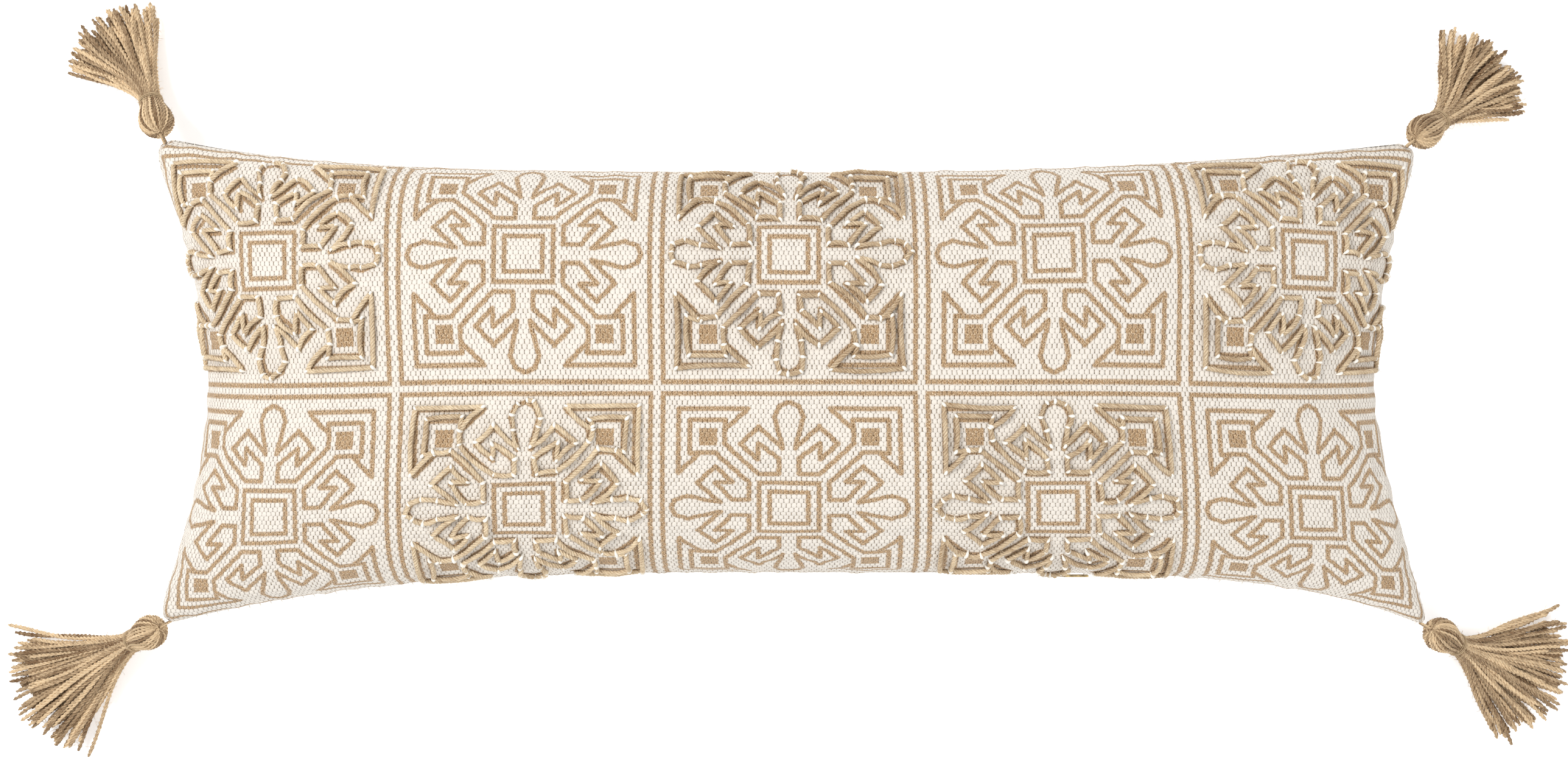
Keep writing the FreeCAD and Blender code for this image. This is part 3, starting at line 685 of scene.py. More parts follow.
@dataclass(frozen=True)
class FibreFill:
    """Loose white polyester fibre."""

    name: str = "loose_fibre"
    light: tuple = rgba(248, 248, 246)
    dark: tuple = rgba(206, 206, 204)

    def material(self) -> bpy.types.Material:
        """Build the fibre's material."""
        material, graph = new_material(self.name)
        shader = principled(graph, 0.95, sheen=0.3)
        place = graph.place()
        clump = graph.noise(place, 45.0, 6.0)
        thread = graph.noise(graph.vector_math("MULTIPLY", place, (900.0, 60.0, 240.0)), 1.0, 3.0)
        # The colour follows the same clump and thread noise as the bump, greyer in its hollows: painted shade
        # in the fibre's hollows.
        blend = graph.math("MULTIPLY_ADD", thread, 0.5, graph.math("MULTIPLY", clump, 0.5))
        share = graph.ramp(blend, 0.3, 0.7)
        graph.feed(shader.inputs["Base Color"], graph.mix_colour(share, self.dark, self.light))
        add_bump(graph, shader, graph.math("ADD", clump, thread), 0.7, 1.0 * MM)
        return material


@dataclass(frozen=True)
class ZipMetal:
    """Antique brass plating, a little rubbed and brushed."""

    name: str = "antique_brass"
    bright: tuple = rgba(196, 168, 112)
    dull: tuple = rgba(108, 88, 56)

    def material(self) -> bpy.types.Material:
        """Build the metal's material."""
        material, graph = new_material(self.name)
        shader = principled(graph, 0.35, metal=1.0)
        place = graph.place()
        stain = graph.noise(place, 500.0, 4.0)
        brush = graph.noise(graph.vector_math("MULTIPLY", place, (400.0, 4000.0, 4000.0)), 1.0, 2.0)
        colour = graph.mix_colour(graph.ramp(stain, 0.35, 0.7), self.bright, self.dull)
        graph.feed(shader.inputs["Base Color"], colour)
        graph.feed(shader.inputs["Roughness"], graph.math("MULTIPLY_ADD", stain, 0.35, 0.2))
        add_bump(graph, shader, brush, 0.25, 0.05 * MM)
        return material


@dataclass(frozen=True)
class MouldedNylon:
    """Drawn nylon of the zip's coils."""

    name: str = "moulded_nylon"
    light: tuple = rgba(236, 228, 212)
    dark: tuple = rgba(214, 203, 184)

    def material(self) -> bpy.types.Material:
        """Build the nylon's material."""
        material, graph = new_material(self.name)
        shader = principled(graph, 0.4)
        place = graph.place()
        cloud = graph.noise(place, 300.0, 2.0)
        graph.feed(shader.inputs["Base Color"], graph.mix_colour(cloud, self.dark, self.light))
        graph.feed(shader.inputs["Roughness"], graph.math("MULTIPLY_ADD", cloud, 0.2, 0.3))
        return material


class Finish(Enum):
    """Named finishes, each made once."""

    JUTE = SpunYarn("couched_jute", rgba(252, 232, 198), rgba(142, 106, 68))
    # The tassel's dark colour and strong per-strand tone stand in for the shadows between strands: partly
    # strand tone, partly painted shade.
    TASSEL = SpunYarn("tassel_jute", rgba(242, 213, 172), rgba(104, 72, 42), strand_tone_and_shade=0.9)
    BINDING = SpunYarn("binding_thread", rgba(240, 220, 188), rgba(196, 166, 126), 0.7, 0.12 * MM)
    COTTON = SpunYarn("cotton_thread", rgba(250, 247, 240), rgba(214, 206, 192), 0.6, 0.12 * MM)
    TICKING = FineCloth("ticking", rgba(246, 245, 241), rgba(214, 212, 206))
    TAPE = FineCloth("zip_tape", rgba(236, 228, 212), rgba(196, 184, 162), 1100.0, True)
    FIBRE = FibreFill()
    METAL = ZipMetal()
    NYLON = MouldedNylon()

    def get(self) -> bpy.types.Material:
        """The finish's material, built on its first use."""
        return bpy.data.materials.get(self.value.name) or self.value.material()


# ---------------------------------------------------------------------------
# Geometry Nodes
# ---------------------------------------------------------------------------
def tree_input(tree: bpy.types.NodeTree, name: str) -> str:
    """Identifier of a group's input, which a modifier is set by."""
    for item in tree.interface.items_tree:
        if item.item_type == "SOCKET" and item.in_out == "INPUT" and item.name == name:
            return item.identifier
    raise KeyError(name)


def new_geometry_tree(name: str, numbers: tuple[str, ...]) -> tuple[bpy.types.NodeTree, Graph]:
    """Geometry tree with a geometry input, number inputs, a seed and a material.

    Args:
        name: the tree's name.
        numbers: names of its number inputs.

    Returns:
        The tree and its graph.
    """
    tree = bpy.data.node_groups.new(name, "GeometryNodeTree")
    tree.interface.new_socket("Paths", in_out="INPUT", socket_type="NodeSocketGeometry")
    for number in numbers:
        tree.interface.new_socket(number, in_out="INPUT", socket_type="NodeSocketFloat")
    tree.interface.new_socket("Seed", in_out="INPUT", socket_type="NodeSocketInt")
    tree.interface.new_socket("Finish", in_out="INPUT", socket_type="NodeSocketMaterial")
    tree.interface.new_socket("Result", in_out="OUTPUT", socket_type="NodeSocketGeometry")
    return tree, Graph(tree)


def named_vector(graph: Graph, name: str) -> bpy.types.NodeSocket:
    """Vector attribute of the incoming paths."""
    node = graph.node("GeometryNodeInputNamedAttribute", {"Name": name}, data_type="FLOAT_VECTOR")
    return node.outputs["Attribute"]


def store(graph: Graph, geometry: object, name: str, kind: str, domain: str, value: object) -> object:
    """Geometry with one more named attribute."""
    node = graph.node(
        "GeometryNodeStoreNamedAttribute",
        {"Geometry": geometry, "Name": name},
        data_type=kind,
        domain=domain,
    )
    graph.feed(node.inputs["Value"], value)
    return node.outputs[0]


def finish_tree(graph: Graph, parts: list, finish: object) -> None:
    """Join parts, make them real, give them their material and send them out."""
    join = graph.node("GeometryNodeJoinGeometry")
    for part in parts:
        graph.tree.links.new(part, join.inputs[0])
    real = graph.node("GeometryNodeRealizeInstances", {"Geometry": join.outputs[0]})
    painted = graph.node("GeometryNodeSetMaterial", {"Geometry": real.outputs[0], "Material": finish})
    smooth = graph.node("GeometryNodeSetShadeSmooth", {"Geometry": painted.outputs[0]})
    graph.feed(graph.node("NodeGroupOutput").inputs[0], smooth.outputs[0])


def yarn_tree() -> bpy.types.NodeTree:
    """Tree that spins plies round every path and adds loose surface fibres."""
    known = bpy.data.node_groups.get("spun_yarn")
    if known:
        return known
    winding = ("Ply Radius", "Ply Offset", "Twist Pitch", "Step")
    numbers = winding + ("Fuzz Density", "Fuzz Length", "Sides", "Plies")
    tree, graph = new_geometry_tree("spun_yarn", numbers)
    given = graph.node("NodeGroupInput").outputs
    curve = graph.node("GeometryNodeMeshToCurve", {"Mesh": given["Paths"]}).outputs[0]
    even = graph.node("GeometryNodeResampleCurve", {"Curve": curve, "Length": given["Step"]}, mode="LENGTH")
    tone = graph.random(given["Seed"])
    toned = store(graph, even.outputs[0], "tone", "FLOAT", "CURVE", tone)
    amount = graph.node("FunctionNodeFloatToInt", {0: given["Plies"]}).outputs[0]
    inputs = {"Geometry": toned, "Amount": amount}
    plies = graph.node("GeometryNodeDuplicateElements", inputs, domain="SPLINE")
    spline = graph.node("GeometryNodeSplineParameter").outputs
    length = spline["Length"]
    marked = store(graph, plies.outputs["Geometry"], "along", "FLOAT", "POINT", length)
    turn = graph.math("MULTIPLY", graph.math("DIVIDE", length, given["Twist Pitch"]), 2 * math.pi)
    share = graph.math("DIVIDE", plies.outputs["Duplicate Index"], given["Plies"])
    angle = graph.math("MULTIPLY_ADD", share, 2 * math.pi, turn)
    tangent = graph.node("GeometryNodeInputTangent").outputs[0]
    across = graph.vector_math("CROSS_PRODUCT", tangent, named_vector(graph, "rise"))
    across = graph.vector_math("NORMALIZE", across)
    rise = graph.vector_math("CROSS_PRODUCT", across, tangent)
    swing = graph.vector_math(
        "ADD",
        graph.scale(rise, graph.math("COSINE", angle)),
        graph.scale(across, graph.math("SINE", angle)),
    )
    tip = graph.ramp(spline["Factor"], 1.0, 0.97)
    taper = graph.math("MULTIPLY_ADD", tip, 0.40, 0.60)
    offset = graph.scale(swing, graph.math("MULTIPLY", taper, given["Ply Offset"]))
    wound = graph.node("GeometryNodeSetPosition", {"Geometry": marked, "Offset": offset}).outputs[0]
    place = graph.node("GeometryNodeInputPosition").outputs[0]
    lump = graph.node("ShaderNodeTexNoise", {"Vector": place, "Scale": 260.0, "Detail": 1.0})
    girth = graph.math("MULTIPLY_ADD", lump.outputs["Fac"], 0.5, 0.75)
    girth = graph.math("MULTIPLY", girth, taper)
    thick = graph.node(
        "GeometryNodeSetCurveRadius",
        {"Curve": wound, "Radius": graph.math("MULTIPLY", girth, given["Ply Radius"])},
    ).outputs[0]
    sides = graph.node("FunctionNodeFloatToInt", {0: given["Sides"]}).outputs[0]
    circle = graph.circle(sides, 1.0)
    lap = graph.math("MULTIPLY", spline["Factor"], 2 * math.pi)
    ring = graph.combine(graph.math("COSINE", lap), graph.math("SINE", lap))
    profile = store(graph, circle, "ring", "FLOAT_VECTOR", "POINT", ring)
    tube = graph.tube(thick, profile)
    scatter = graph.node(
        "GeometryNodeDistributePointsOnFaces",
        {"Mesh": tube, "Density": given["Fuzz Density"], "Seed": given["Seed"]},
    )
    bend = graph.node(
        "GeometryNodeCurveQuadraticBezier",
        {"Resolution": 3, "Start": (0, 0, 0), "Middle": (0.12, 0, 0.5), "End": (0.5, 0.1, 0.8)},
    )
    inputs = {"Curve": bend.outputs[0], "Profile Curve": graph.circle(3, 0.022)}
    hair = graph.node("GeometryNodeCurveToMesh", inputs)
    size = graph.random(given["Seed"], 0.4, 1.3)
    spin = graph.node("FunctionNodeRandomValue", {"Seed": given["Seed"]}, data_type="FLOAT_VECTOR")
    spin.inputs[0].default_value = (-0.9, -0.9, -math.pi)
    spin.inputs[1].default_value = (0.9, 0.9, math.pi)
    tilt = graph.node("FunctionNodeEulerToRotation", {0: spin.outputs[0]}).outputs[0]
    facing = graph.node(
        "FunctionNodeRotateRotation",
        {"Rotation": scatter.outputs["Rotation"], "Rotate By": tilt},
        rotation_space="LOCAL",
    )
    hairs = graph.node(
        "GeometryNodeInstanceOnPoints",
        {
            "Points": scatter.outputs["Points"],
            "Instance": hair.outputs[0],
            "Rotation": facing.outputs[0],
            "Scale": graph.math("MULTIPLY", size, given["Fuzz Length"]),
        },
    )
    finish_tree(graph, [tube, hairs.outputs[0]], given["Finish"])
    return tree


def stitch_tree() -> bpy.types.NodeTree:
    """Tree that puts one arched stitch on every point, over its heading and rise."""
    known = bpy.data.node_groups.get("arched_stitches")
    if known:
        return known
    tree, graph = new_geometry_tree("arched_stitches", ("Half Length", "Arch", "Thread Radius"))
    given = graph.node("NodeGroupInput").outputs
    half = given["Half Length"]
    bend = graph.node(
        "GeometryNodeCurveQuadraticBezier",
        {
            "Resolution": 6,
            "Start": graph.combine(graph.math("MULTIPLY", half, -1.0), 0.0, 0.0),
            "Middle": graph.combine(0.0, 0.0, graph.math("MULTIPLY", given["Arch"], 2.0)),
            "End": graph.combine(half, 0.0, 0.0),
        },
    )
    place = graph.node("GeometryNodeSplineParameter").outputs["Factor"]
    swell = graph.math("SINE", graph.math("MULTIPLY", place, math.pi))
    girth = graph.math("MULTIPLY", graph.math("MULTIPLY_ADD", swell, 0.6, 0.4), given["Thread Radius"])
    shaped = graph.node("GeometryNodeSetCurveRadius", {"Curve": bend.outputs[0], "Radius": girth})
    thread = graph.tube(shaped.outputs[0], graph.circle(6, 1.0))
    turn = graph.node(
        "FunctionNodeAxesToRotation",
        {0: named_vector(graph, "rise"), 1: named_vector(graph, "heading")},
        primary_axis="Z",
        secondary_axis="X",
    )
    size = graph.random(given["Seed"], 0.85, 1.2)
    dots = graph.node("GeometryNodeMeshToPoints", {"Mesh": given["Paths"]})
    laid = graph.node(
        "GeometryNodeInstanceOnPoints",
        {
            "Points": dots.outputs[0],
            "Instance": thread,
            "Rotation": turn.outputs[0],
            "Scale": size,
        },
    )
    finish_tree(graph, [laid.outputs[0]], given["Finish"])
    return tree


def coil_tree() -> bpy.types.NodeTree:
    """Tree that winds one long flat coil along X through every point."""
    known = bpy.data.node_groups.get("zip_coil_winding")
    if known:
        return known
    numbers = ("Length", "Turns", "Half Depth", "Half Height", "Wire Radius")
    tree, graph = new_geometry_tree("zip_coil_winding", numbers)
    given = graph.node("NodeGroupInput").outputs
    turns = given["Turns"]
    spiral = graph.node(
        "GeometryNodeCurveSpiral",
        {"Resolution": 10, "Rotations": turns, "Start Radius": 1.0, "End Radius": 1.0},
    )
    graph.feed(spiral.inputs["Height"], given["Length"])
    place = graph.separate(graph.node("GeometryNodeInputPosition").outputs[0])
    middle = graph.math("SUBTRACT", place[2], graph.math("MULTIPLY", given["Length"], 0.5))
    laid = graph.combine(
        middle,
        graph.math("MULTIPLY", place[0], given["Half Depth"]),
        graph.math("MULTIPLY", place[1], given["Half Height"]),
    )
    flat = graph.node("GeometryNodeSetPosition", {"Geometry": spiral.outputs[0], "Position": laid})
    wire = graph.tube(flat.outputs[0], graph.circle(5, given["Wire Radius"]))
    dots = graph.node("GeometryNodeMeshToPoints", {"Mesh": given["Paths"]})
    laid = graph.node("GeometryNodeInstanceOnPoints", {"Points": dots.outputs[0], "Instance": wire})
    finish_tree(graph, [laid.outputs[0]], given["Finish"])
    return tree


def add_object(name: str, mesh: bpy.types.Mesh) -> bpy.types.Object:
    """Object at the origin that shows a mesh."""
    piece = bpy.data.objects.new(name, mesh)
    bpy.context.scene.collection.objects.link(piece)
    return piece


def grow(name: str, source: bpy.types.Mesh, tree: bpy.types.NodeTree, values: dict) -> bpy.types.Object:
    """Run a geometry tree on a mesh and keep the plain result.

    Args:
        name: name of the finished piece.
        source: paths or points that the tree starts from.
        tree: the geometry tree.
        values: input name and its value.

    Returns:
        The finished piece, with no modifier left on it.
    """
    carrier = add_object(name + "_paths", source)
    modifier = carrier.modifiers.new("grow", "NODES")
    modifier.node_group = tree
    for key, value in values.items():
        modifier[tree_input(tree, key)] = value
    depsgraph = bpy.context.evaluated_depsgraph_get()
    result = bpy.data.meshes.new_from_object(carrier.evaluated_get(depsgraph), depsgraph=depsgraph)
    bpy.data.objects.remove(carrier)
    result.name = name
    return add_object(name, result)


def path_mesh(name: str, paths: list, rises: list) -> bpy.types.Mesh:
    """Mesh of loose edges along paths, with a rise direction at every point.

    Args:
        name: the mesh's name.
        paths: arrays of points.
        rises: arrays of directions, one for each path.

    Returns:
        The mesh, with the attribute "rise".
    """
    edges = []
    start = 0
    for path in paths:
        edges += [(start + i, start + i + 1) for i in range(len(path) - 1)]
        start += len(path)
    mesh = bpy.data.meshes.new(name)
    mesh.from_pydata(np.concatenate(paths).tolist(), edges, [])
    rise = mesh.attributes.new("rise", "FLOAT_VECTOR", "POINT")
    rise.data.foreach_set("vector", np.concatenate(rises).astype(np.float32).ravel())
    return mesh


def point_mesh(name: str, points: np.ndarray, headings: np.ndarray, rises: np.ndarray) -> bpy.types.Mesh:
    """Mesh of loose points with a heading and a rise at each."""
    mesh = bpy.data.meshes.new(name)
    mesh.from_pydata(np.asarray(points).tolist(), [], [])
    for label, values in (("heading", headings), ("rise", rises)):
        attribute = mesh.attributes.new(label, "FLOAT_VECTOR", "POINT")
        attribute.data.foreach_set("vector", np.asarray(values, dtype=np.float32).ravel())
    return mesh


@dataclass(frozen=True)
class YarnGauge:
    """Sizes of one kind of yarn, in metres."""

    ply_radius: float
    ply_offset: float
    twist_pitch: float
    step: float
    fuzz_density: float = 0.0
    fuzz_length: float = 4.0 * MM
    sides: float = 5.0
    plies: float = 2.0

    def spin(self, name: str, paths: list, rises: list, finish: Finish, seed: int) -> bpy.types.Object:
        """Spin this yarn along paths.

        Args:
            name: name of the finished piece.
            paths: arrays of points.
            rises: directions at those points.
            finish: the yarn's finish.
            seed: seed of its loose fibres.

        Returns:
            The finished piece.
        """
        values = {
            "Ply Radius": self.ply_radius,
            "Ply Offset": self.ply_offset,
            "Twist Pitch": self.twist_pitch,
            "Step": self.step,
            "Fuzz Density": self.fuzz_density,
            "Fuzz Length": self.fuzz_length,
            "Sides": self.sides,
            "Plies": self.plies,
            "Seed": seed,
            "Finish": finish.get(),
        }
        return grow(name, path_mesh(name + "_lines", paths, rises), yarn_tree(), values)


@dataclass(frozen=True)
class StitchGauge:
    """Sizes of one kind of cotton stitch, in metres."""

    half_length: float
    arch: float
    thread_radius: float

    def sew(self, name: str, places: tuple, seed: int) -> bpy.types.Object:
        """Put one stitch on every place.

        Args:
            name: name of the finished piece.
            places: middles of the stitches, their headings and their rises.
            seed: seed of the stitches' sizes.

        Returns:
            The finished piece.
        """
        values = {
            "Half Length": self.half_length,
            "Arch": self.arch,
            "Thread Radius": self.thread_radius,
            "Seed": seed,
            "Finish": Finish.COTTON.get(),
        }
        return grow(name, point_mesh(name + "_places", *places), stitch_tree(), values)


def settle(piece: bpy.types.Object, body: str, nodes: tuple[str, ...]) -> bpy.types.Object:
    """Attach a finished piece to its body and hide the CAD nodes that it stands for.

    Args:
        piece: the piece, in place.
        body: the body it rides on.
        nodes: CAD nodes that it stands for.

    Returns:
        The same piece.
    """
    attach(piece, body)
    if nodes:
        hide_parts(*nodes)
    LOG.info("%s: %d faces on %s", piece.name, len(piece.data.polygons), body)
    return piece


def join(pieces: list[bpy.types.Object], name: str) -> bpy.types.Object:
    """Join mesh objects into the first one and rename it."""
    bpy.ops.object.select_all(action="DESELECT")
    for piece in pieces:
        piece.select_set(True)
    bpy.context.view_layer.objects.active = pieces[0]
    bpy.ops.object.join()
    pieces[0].name = name
    return pieces[0]


def sheet(name: str, points: np.ndarray, faces: list, finish: Finish) -> bpy.types.Object:
    """Smooth mesh object of one finish, from points and faces."""
    mesh = bpy.data.meshes.new(name)
    mesh.from_pydata(points.reshape(-1, 3).tolist(), [], faces)
    mesh.materials.append(finish.get())
    mesh.polygons.foreach_set("use_smooth", np.ones(len(faces), bool))
    return add_object(name, mesh)


# ---------------------------------------------------------------------------
# Cover
# ---------------------------------------------------------------------------
def smooth_step(value: np.ndarray) -> np.ndarray:
    """Smooth rise from 0 to 1 as value goes from 0 to 1."""
    value = np.clip(value, 0.0, 1.0)
    return value * value * (3.0 - 2.0 * value)


def refine(grid: np.ndarray, factor: int, axis: int) -> np.ndarray:
    """Grid with factor times as many steps along one axis, on a smooth curve through its points."""
    points = np.moveaxis(grid, axis, 0)
    count = len(points)
    before = 2 * points[:1] - points[1:2]
    after = 2 * points[-1:] - points[-2:-1]
    padded = np.concatenate([before, points, after])
    place = np.linspace(0, count - 1, (count - 1) * factor + 1)
    index = np.minimum(place.astype(int), count - 2)
    share = (place - index).reshape((-1,) + (1,) * (points.ndim - 1))
    p0, p1, p2, p3 = (padded[index + k] for k in range(4))
    curve = (
        2 * p1
        + (p2 - p0) * share
        + (2 * p0 - 5 * p1 + 4 * p2 - p3) * share**2
        + (3 * p1 - p0 - 3 * p2 + p3) * share**3
    )
    return np.moveaxis(0.5 * curve, 0, axis)


def grid_normals(grid: np.ndarray, upward: float) -> np.ndarray:
    """Unit normals of a grid of points, on the side that upward (+1 or -1) names."""
    along = np.gradient(grid, axis=0)
    across = np.gradient(grid, axis=1)
    normal = np.cross(along, across) * upward
    length = np.linalg.norm(normal, axis=-1, keepdims=True)
    return normal / np.maximum(length, 1e-12)


def half_shares(points: np.ndarray) -> np.ndarray:
    """Running length along axis 0 from the middle line, as a share of each half: -1 to 1."""
    steps = np.linalg.norm(np.diff(points, axis=0), axis=2)
    length = np.concatenate([np.zeros((1, steps.shape[1])), np.cumsum(steps, axis=0)])
    length = length - length[len(length) // 2]
    return np.where(length < 0, -length / length[0], length / length[-1])


@dataclass
class ClothForm:
    """Inflates the flat panels into the stuffed cover and answers where a panel position lies.

    The ears are the lower and upper one of the left end, then those of the right end. Each seam wave has
    a rate per metre and a phase, and the puckers have a height and a fade, at the sides and at the ends.
    """

    shape: CoverShape
    cells_along: int = 114
    cells_across: int = 44
    frames: int = 16
    pressure: float = 2.0
    stiffness: float = 30.0
    bending: float = 0.35
    cap: float = 0.007
    refinement: int = 3
    balance_rounds: int = 12
    corner_radius: float = 9.0 * MM
    ear_reach: float = 22.0 * MM
    ear_fade: float = 16.0 * MM
    ears: tuple = ((5.0 * MM, 7.0 * MM), (1.5 * MM, 5.0 * MM))
    slip_reach: float = 11.0 * MM
    seam_waves: tuple = ((228.0, 0.4), (331.0, 2.1), (147.0, 4.0))
    puckers: tuple = ((0.45 * MM, 0.016), (0.60 * MM, 0.020))
    pucker_start: float = 0.006
    lump_height: float = 0.7 * MM
    lump_start: float = 0.05
    front: np.ndarray | None = None
    back: np.ndarray | None = None
    front_normal: np.ndarray | None = None
    back_normal: np.ndarray | None = None

    def start_grid(self, front: bool) -> np.ndarray:
        """Stuffed shape on the cloth grid, spaced so that cloth length is shared evenly on every line."""
        dense = np.linspace(-1.0, 1.0, 401)
        points = self.shape.face(*np.meshgrid(dense, dense, indexing="ij"), front)
        along = half_shares(points)
        across = half_shares(points.transpose(1, 0, 2))
        x = np.linspace(-1.0, 1.0, self.cells_along + 1)
        y = np.linspace(-1.0, 1.0, self.cells_across + 1)
        s_table = np.stack([np.interp(x, along[:, k], dense) for k in range(len(dense))], axis=1)
        t_table = np.stack([np.interp(y, across[:, k], dense) for k in range(len(dense))], axis=1)
        s, t = np.meshgrid(x, y, indexing="ij")
        for _ in range(self.balance_rounds):
            s = np.stack([np.interp(t[i], dense, s_table[i]) for i in range(len(x))])
            t = np.stack([np.interp(s[:, j], dense, t_table[j]) for j in range(len(y))], axis=1)
        return self.shape.face(s, t, front)

    def inflate(self) -> None:
        front, back = self.start_grid(True), self.start_grid(False)
        front, back = self.simulate(front, back)
        grids = []
        for grid in (front, back):
            grid = refine(refine(grid, self.refinement, 0), self.refinement, 1)
            grids.append(self.turn_corners(grid))
        self.front, self.back = self.add_puckers(grids[0], 1.0), self.add_puckers(grids[1], -1.0)
        self.back[..., 2] = np.maximum(self.back[..., 2], 0.0)
        self.front_normal = grid_normals(self.front, 1.0)
        self.back_normal = grid_normals(self.back, -1.0)

    def simulate(self, front: np.ndarray, back: np.ndarray) -> tuple[np.ndarray, np.ndarray]:
        """Let pressure settle the cloth from the stuffed shape, with the flat panels as its rest size.

        Args:
            front: start points of the front panel.
            back: start points of the back panel.

        Returns:
            The settled points of both panels, none moved further than the cap.
        """
        rim = np.zeros(front.shape[:2], bool)
        rim[0, :] = rim[-1, :] = rim[:, 0] = rim[:, -1] = True
        front_index = np.arange(rim.size).reshape(rim.shape)
        back_index = np.where(rim, front_index, -1)
        back_index[~rim] = rim.size + np.arange((~rim).sum())
        flat = np.stack([*self.shape.panel_grid(rim.shape), np.zeros(rim.shape)], axis=-1)
        points = np.concatenate([front.reshape(-1, 3), back[~rim]])
        rest = np.concatenate([flat.reshape(-1, 3), flat[~rim]])
        mesh = bpy.data.meshes.new("cloth")
        mesh.from_pydata(points.tolist(), [], grid_faces(front_index, False) + grid_faces(back_index, True))
        cloth = add_object("cloth", mesh)
        cloth.shape_key_add(name="Stuffed")
        flat_key = cloth.shape_key_add(name="Flat")
        flat_key.data.foreach_set("co", rest.ravel())
        flat_key.value = 0.0
        pins = cloth.vertex_groups.new(name="seam")
        pins.add([int(i) for i in front_index[rim]], 1.0, "REPLACE")
        modifier = cloth.modifiers.new("stuffing", "CLOTH")
        settings = modifier.settings
        settings.quality = 6
        settings.mass = 0.5
        settings.tension_stiffness = self.stiffness
        settings.compression_stiffness = self.stiffness
        settings.shear_stiffness = 0.25 * self.stiffness
        settings.bending_stiffness = self.bending
        settings.tension_damping = settings.compression_damping = 30.0
        settings.shear_damping = 25.0
        settings.bending_damping = 3.0
        settings.air_damping = 8.0
        settings.use_pressure = True
        settings.uniform_pressure_force = self.pressure
        settings.effector_weights.gravity = 0.0
        settings.rest_shape_key = flat_key
        settings.vertex_group_mass = "seam"
        modifier.point_cache.frame_start = 1
        modifier.point_cache.frame_end = self.frames
        for number in range(1, self.frames + 1):
            bpy.context.scene.frame_set(number)
        depsgraph = bpy.context.evaluated_depsgraph_get()
        settled = cloth.evaluated_get(depsgraph).to_mesh()
        moved = np.empty(len(settled.vertices) * 3)
        settled.vertices.foreach_get("co", moved)
        moved = moved.reshape(-1, 3)
        bpy.context.scene.frame_set(1)
        bpy.data.objects.remove(cloth)
        change = moved - points
        length = np.linalg.norm(change, axis=1, keepdims=True)
        LOG.info("cloth moved at most %.1f mm, mean %.1f mm", length.max() / MM, length.mean() / MM)
        change *= self.cap * np.tanh(length / self.cap) / np.maximum(length, 1e-9)
        moved = points + change
        return moved[front_index], moved[back_index]

    def turn_corners(self, grid: np.ndarray) -> np.ndarray:
        """Round the seam's four corners, and fill out the ears beside them.

        Args:
            grid: points of one panel.

        Returns:
            The moved points.
        """
        x, y = self.shape.panel_grid(grid.shape[:2])
        to_end, to_side = self.shape.to_rim(x, y)
        ears = np.array(self.ears)[(x >= 0.0).astype(int), (y > 0.0).astype(int)]
        rise = to_side / self.ear_reach
        ears = ears * rise * np.exp(1.0 - rise) * np.exp(-to_end / self.ear_fade)
        reach_x = np.maximum(self.corner_radius - to_end, 0.0)
        reach_y = np.maximum(self.corner_radius - to_side, 0.0)
        length = np.maximum(np.hypot(reach_x, reach_y), 1e-9)
        share = np.where(reach_x * reach_y > 0.0, np.maximum(reach_x, reach_y) / length, 1.0) - 1.0
        moved = grid.copy()
        moved[..., 0] += np.sign(x) * (ears + reach_x * share)
        moved[..., 1] += np.sign(y) * reach_y * share
        return moved

    def add_puckers(self, grid: np.ndarray, side: float) -> np.ndarray:
        """Small gathers that the seam draws into the cloth, and the filling's faint lumps."""
        normal = grid_normals(grid, side)
        flat_x, flat_y = self.shape.panel_grid(grid.shape[:2])
        to_end, to_side = self.shape.to_rim(flat_x, flat_y)
        ripple = np.zeros(grid.shape[:2])
        for rate, phase in self.seam_waves:
            side_wave = np.sin(rate * flat_x + phase + 3.0 * np.sin(19.0 * flat_x + side))
            end_wave = np.sin(rate * flat_y + phase + 3.0 * np.sin(23.0 * flat_y - side))
            for wave, gap, (height, fade) in zip((side_wave, end_wave), (to_side, to_end), self.puckers):
                ripple += height * wave * smooth_step(gap / self.pucker_start) * np.exp(-gap / fade)
        inside = smooth_step(np.minimum(to_side, to_end) / self.lump_start)
        lumps = np.sin(41.0 * flat_x + 1.3) * np.sin(53.0 * flat_y + side)
        lumps += 0.6 * np.sin(87.0 * flat_x - 61.0 * flat_y + 2.0 * side)
        ripple += self.lump_height * inside * lumps
        return grid + normal * ripple[..., None]

    def slip(self, x: np.ndarray, y: np.ndarray) -> np.ndarray:
        """How far the tiles sit off the cloth grid towards -Y, most at the two upper corners."""
        end = smooth_step((np.abs(x) - 0.2) / 0.2)
        rise = np.clip(0.5 * (y / self.shape.panel_half_width + 1.0), 0.0, 1.0)
        return self.slip_reach * end * rise**1.6

    def place(self, x: np.ndarray, y: np.ndarray) -> tuple[np.ndarray, np.ndarray]:
        """Points and normals of the front at flat panel positions.

        Args:
            x: distances along the panel from its centre.
            y: distances across the panel from its centre.

        Returns:
            Points and unit normals.
        """
        chart_y = np.asarray(y)
        for _ in range(4):
            y = chart_y - self.slip(np.asarray(x), y)
        half_sizes = (self.shape.panel_half_length, self.shape.panel_half_width)
        cells = []
        for value, half, count in zip((x, y), half_sizes, self.front.shape[:2]):
            share = (np.asarray(value) / half + 1.0) * 0.5
            cells.append(np.clip(share * (count - 1), 0, count - 1.001))
        i, j = cells
        i0, j0 = i.astype(int), j.astype(int)
        fi, fj = (i - i0)[..., None], (j - j0)[..., None]
        results = []
        for grid in (self.front, self.front_normal):
            low = grid[i0, j0] * (1 - fj) + grid[i0, j0 + 1] * fj
            high = grid[i0 + 1, j0] * (1 - fj) + grid[i0 + 1, j0 + 1] * fj
            results.append(low * (1 - fi) + high * fi)
        point, normal = results
        return point, normal / np.linalg.norm(normal, axis=-1, keepdims=True)


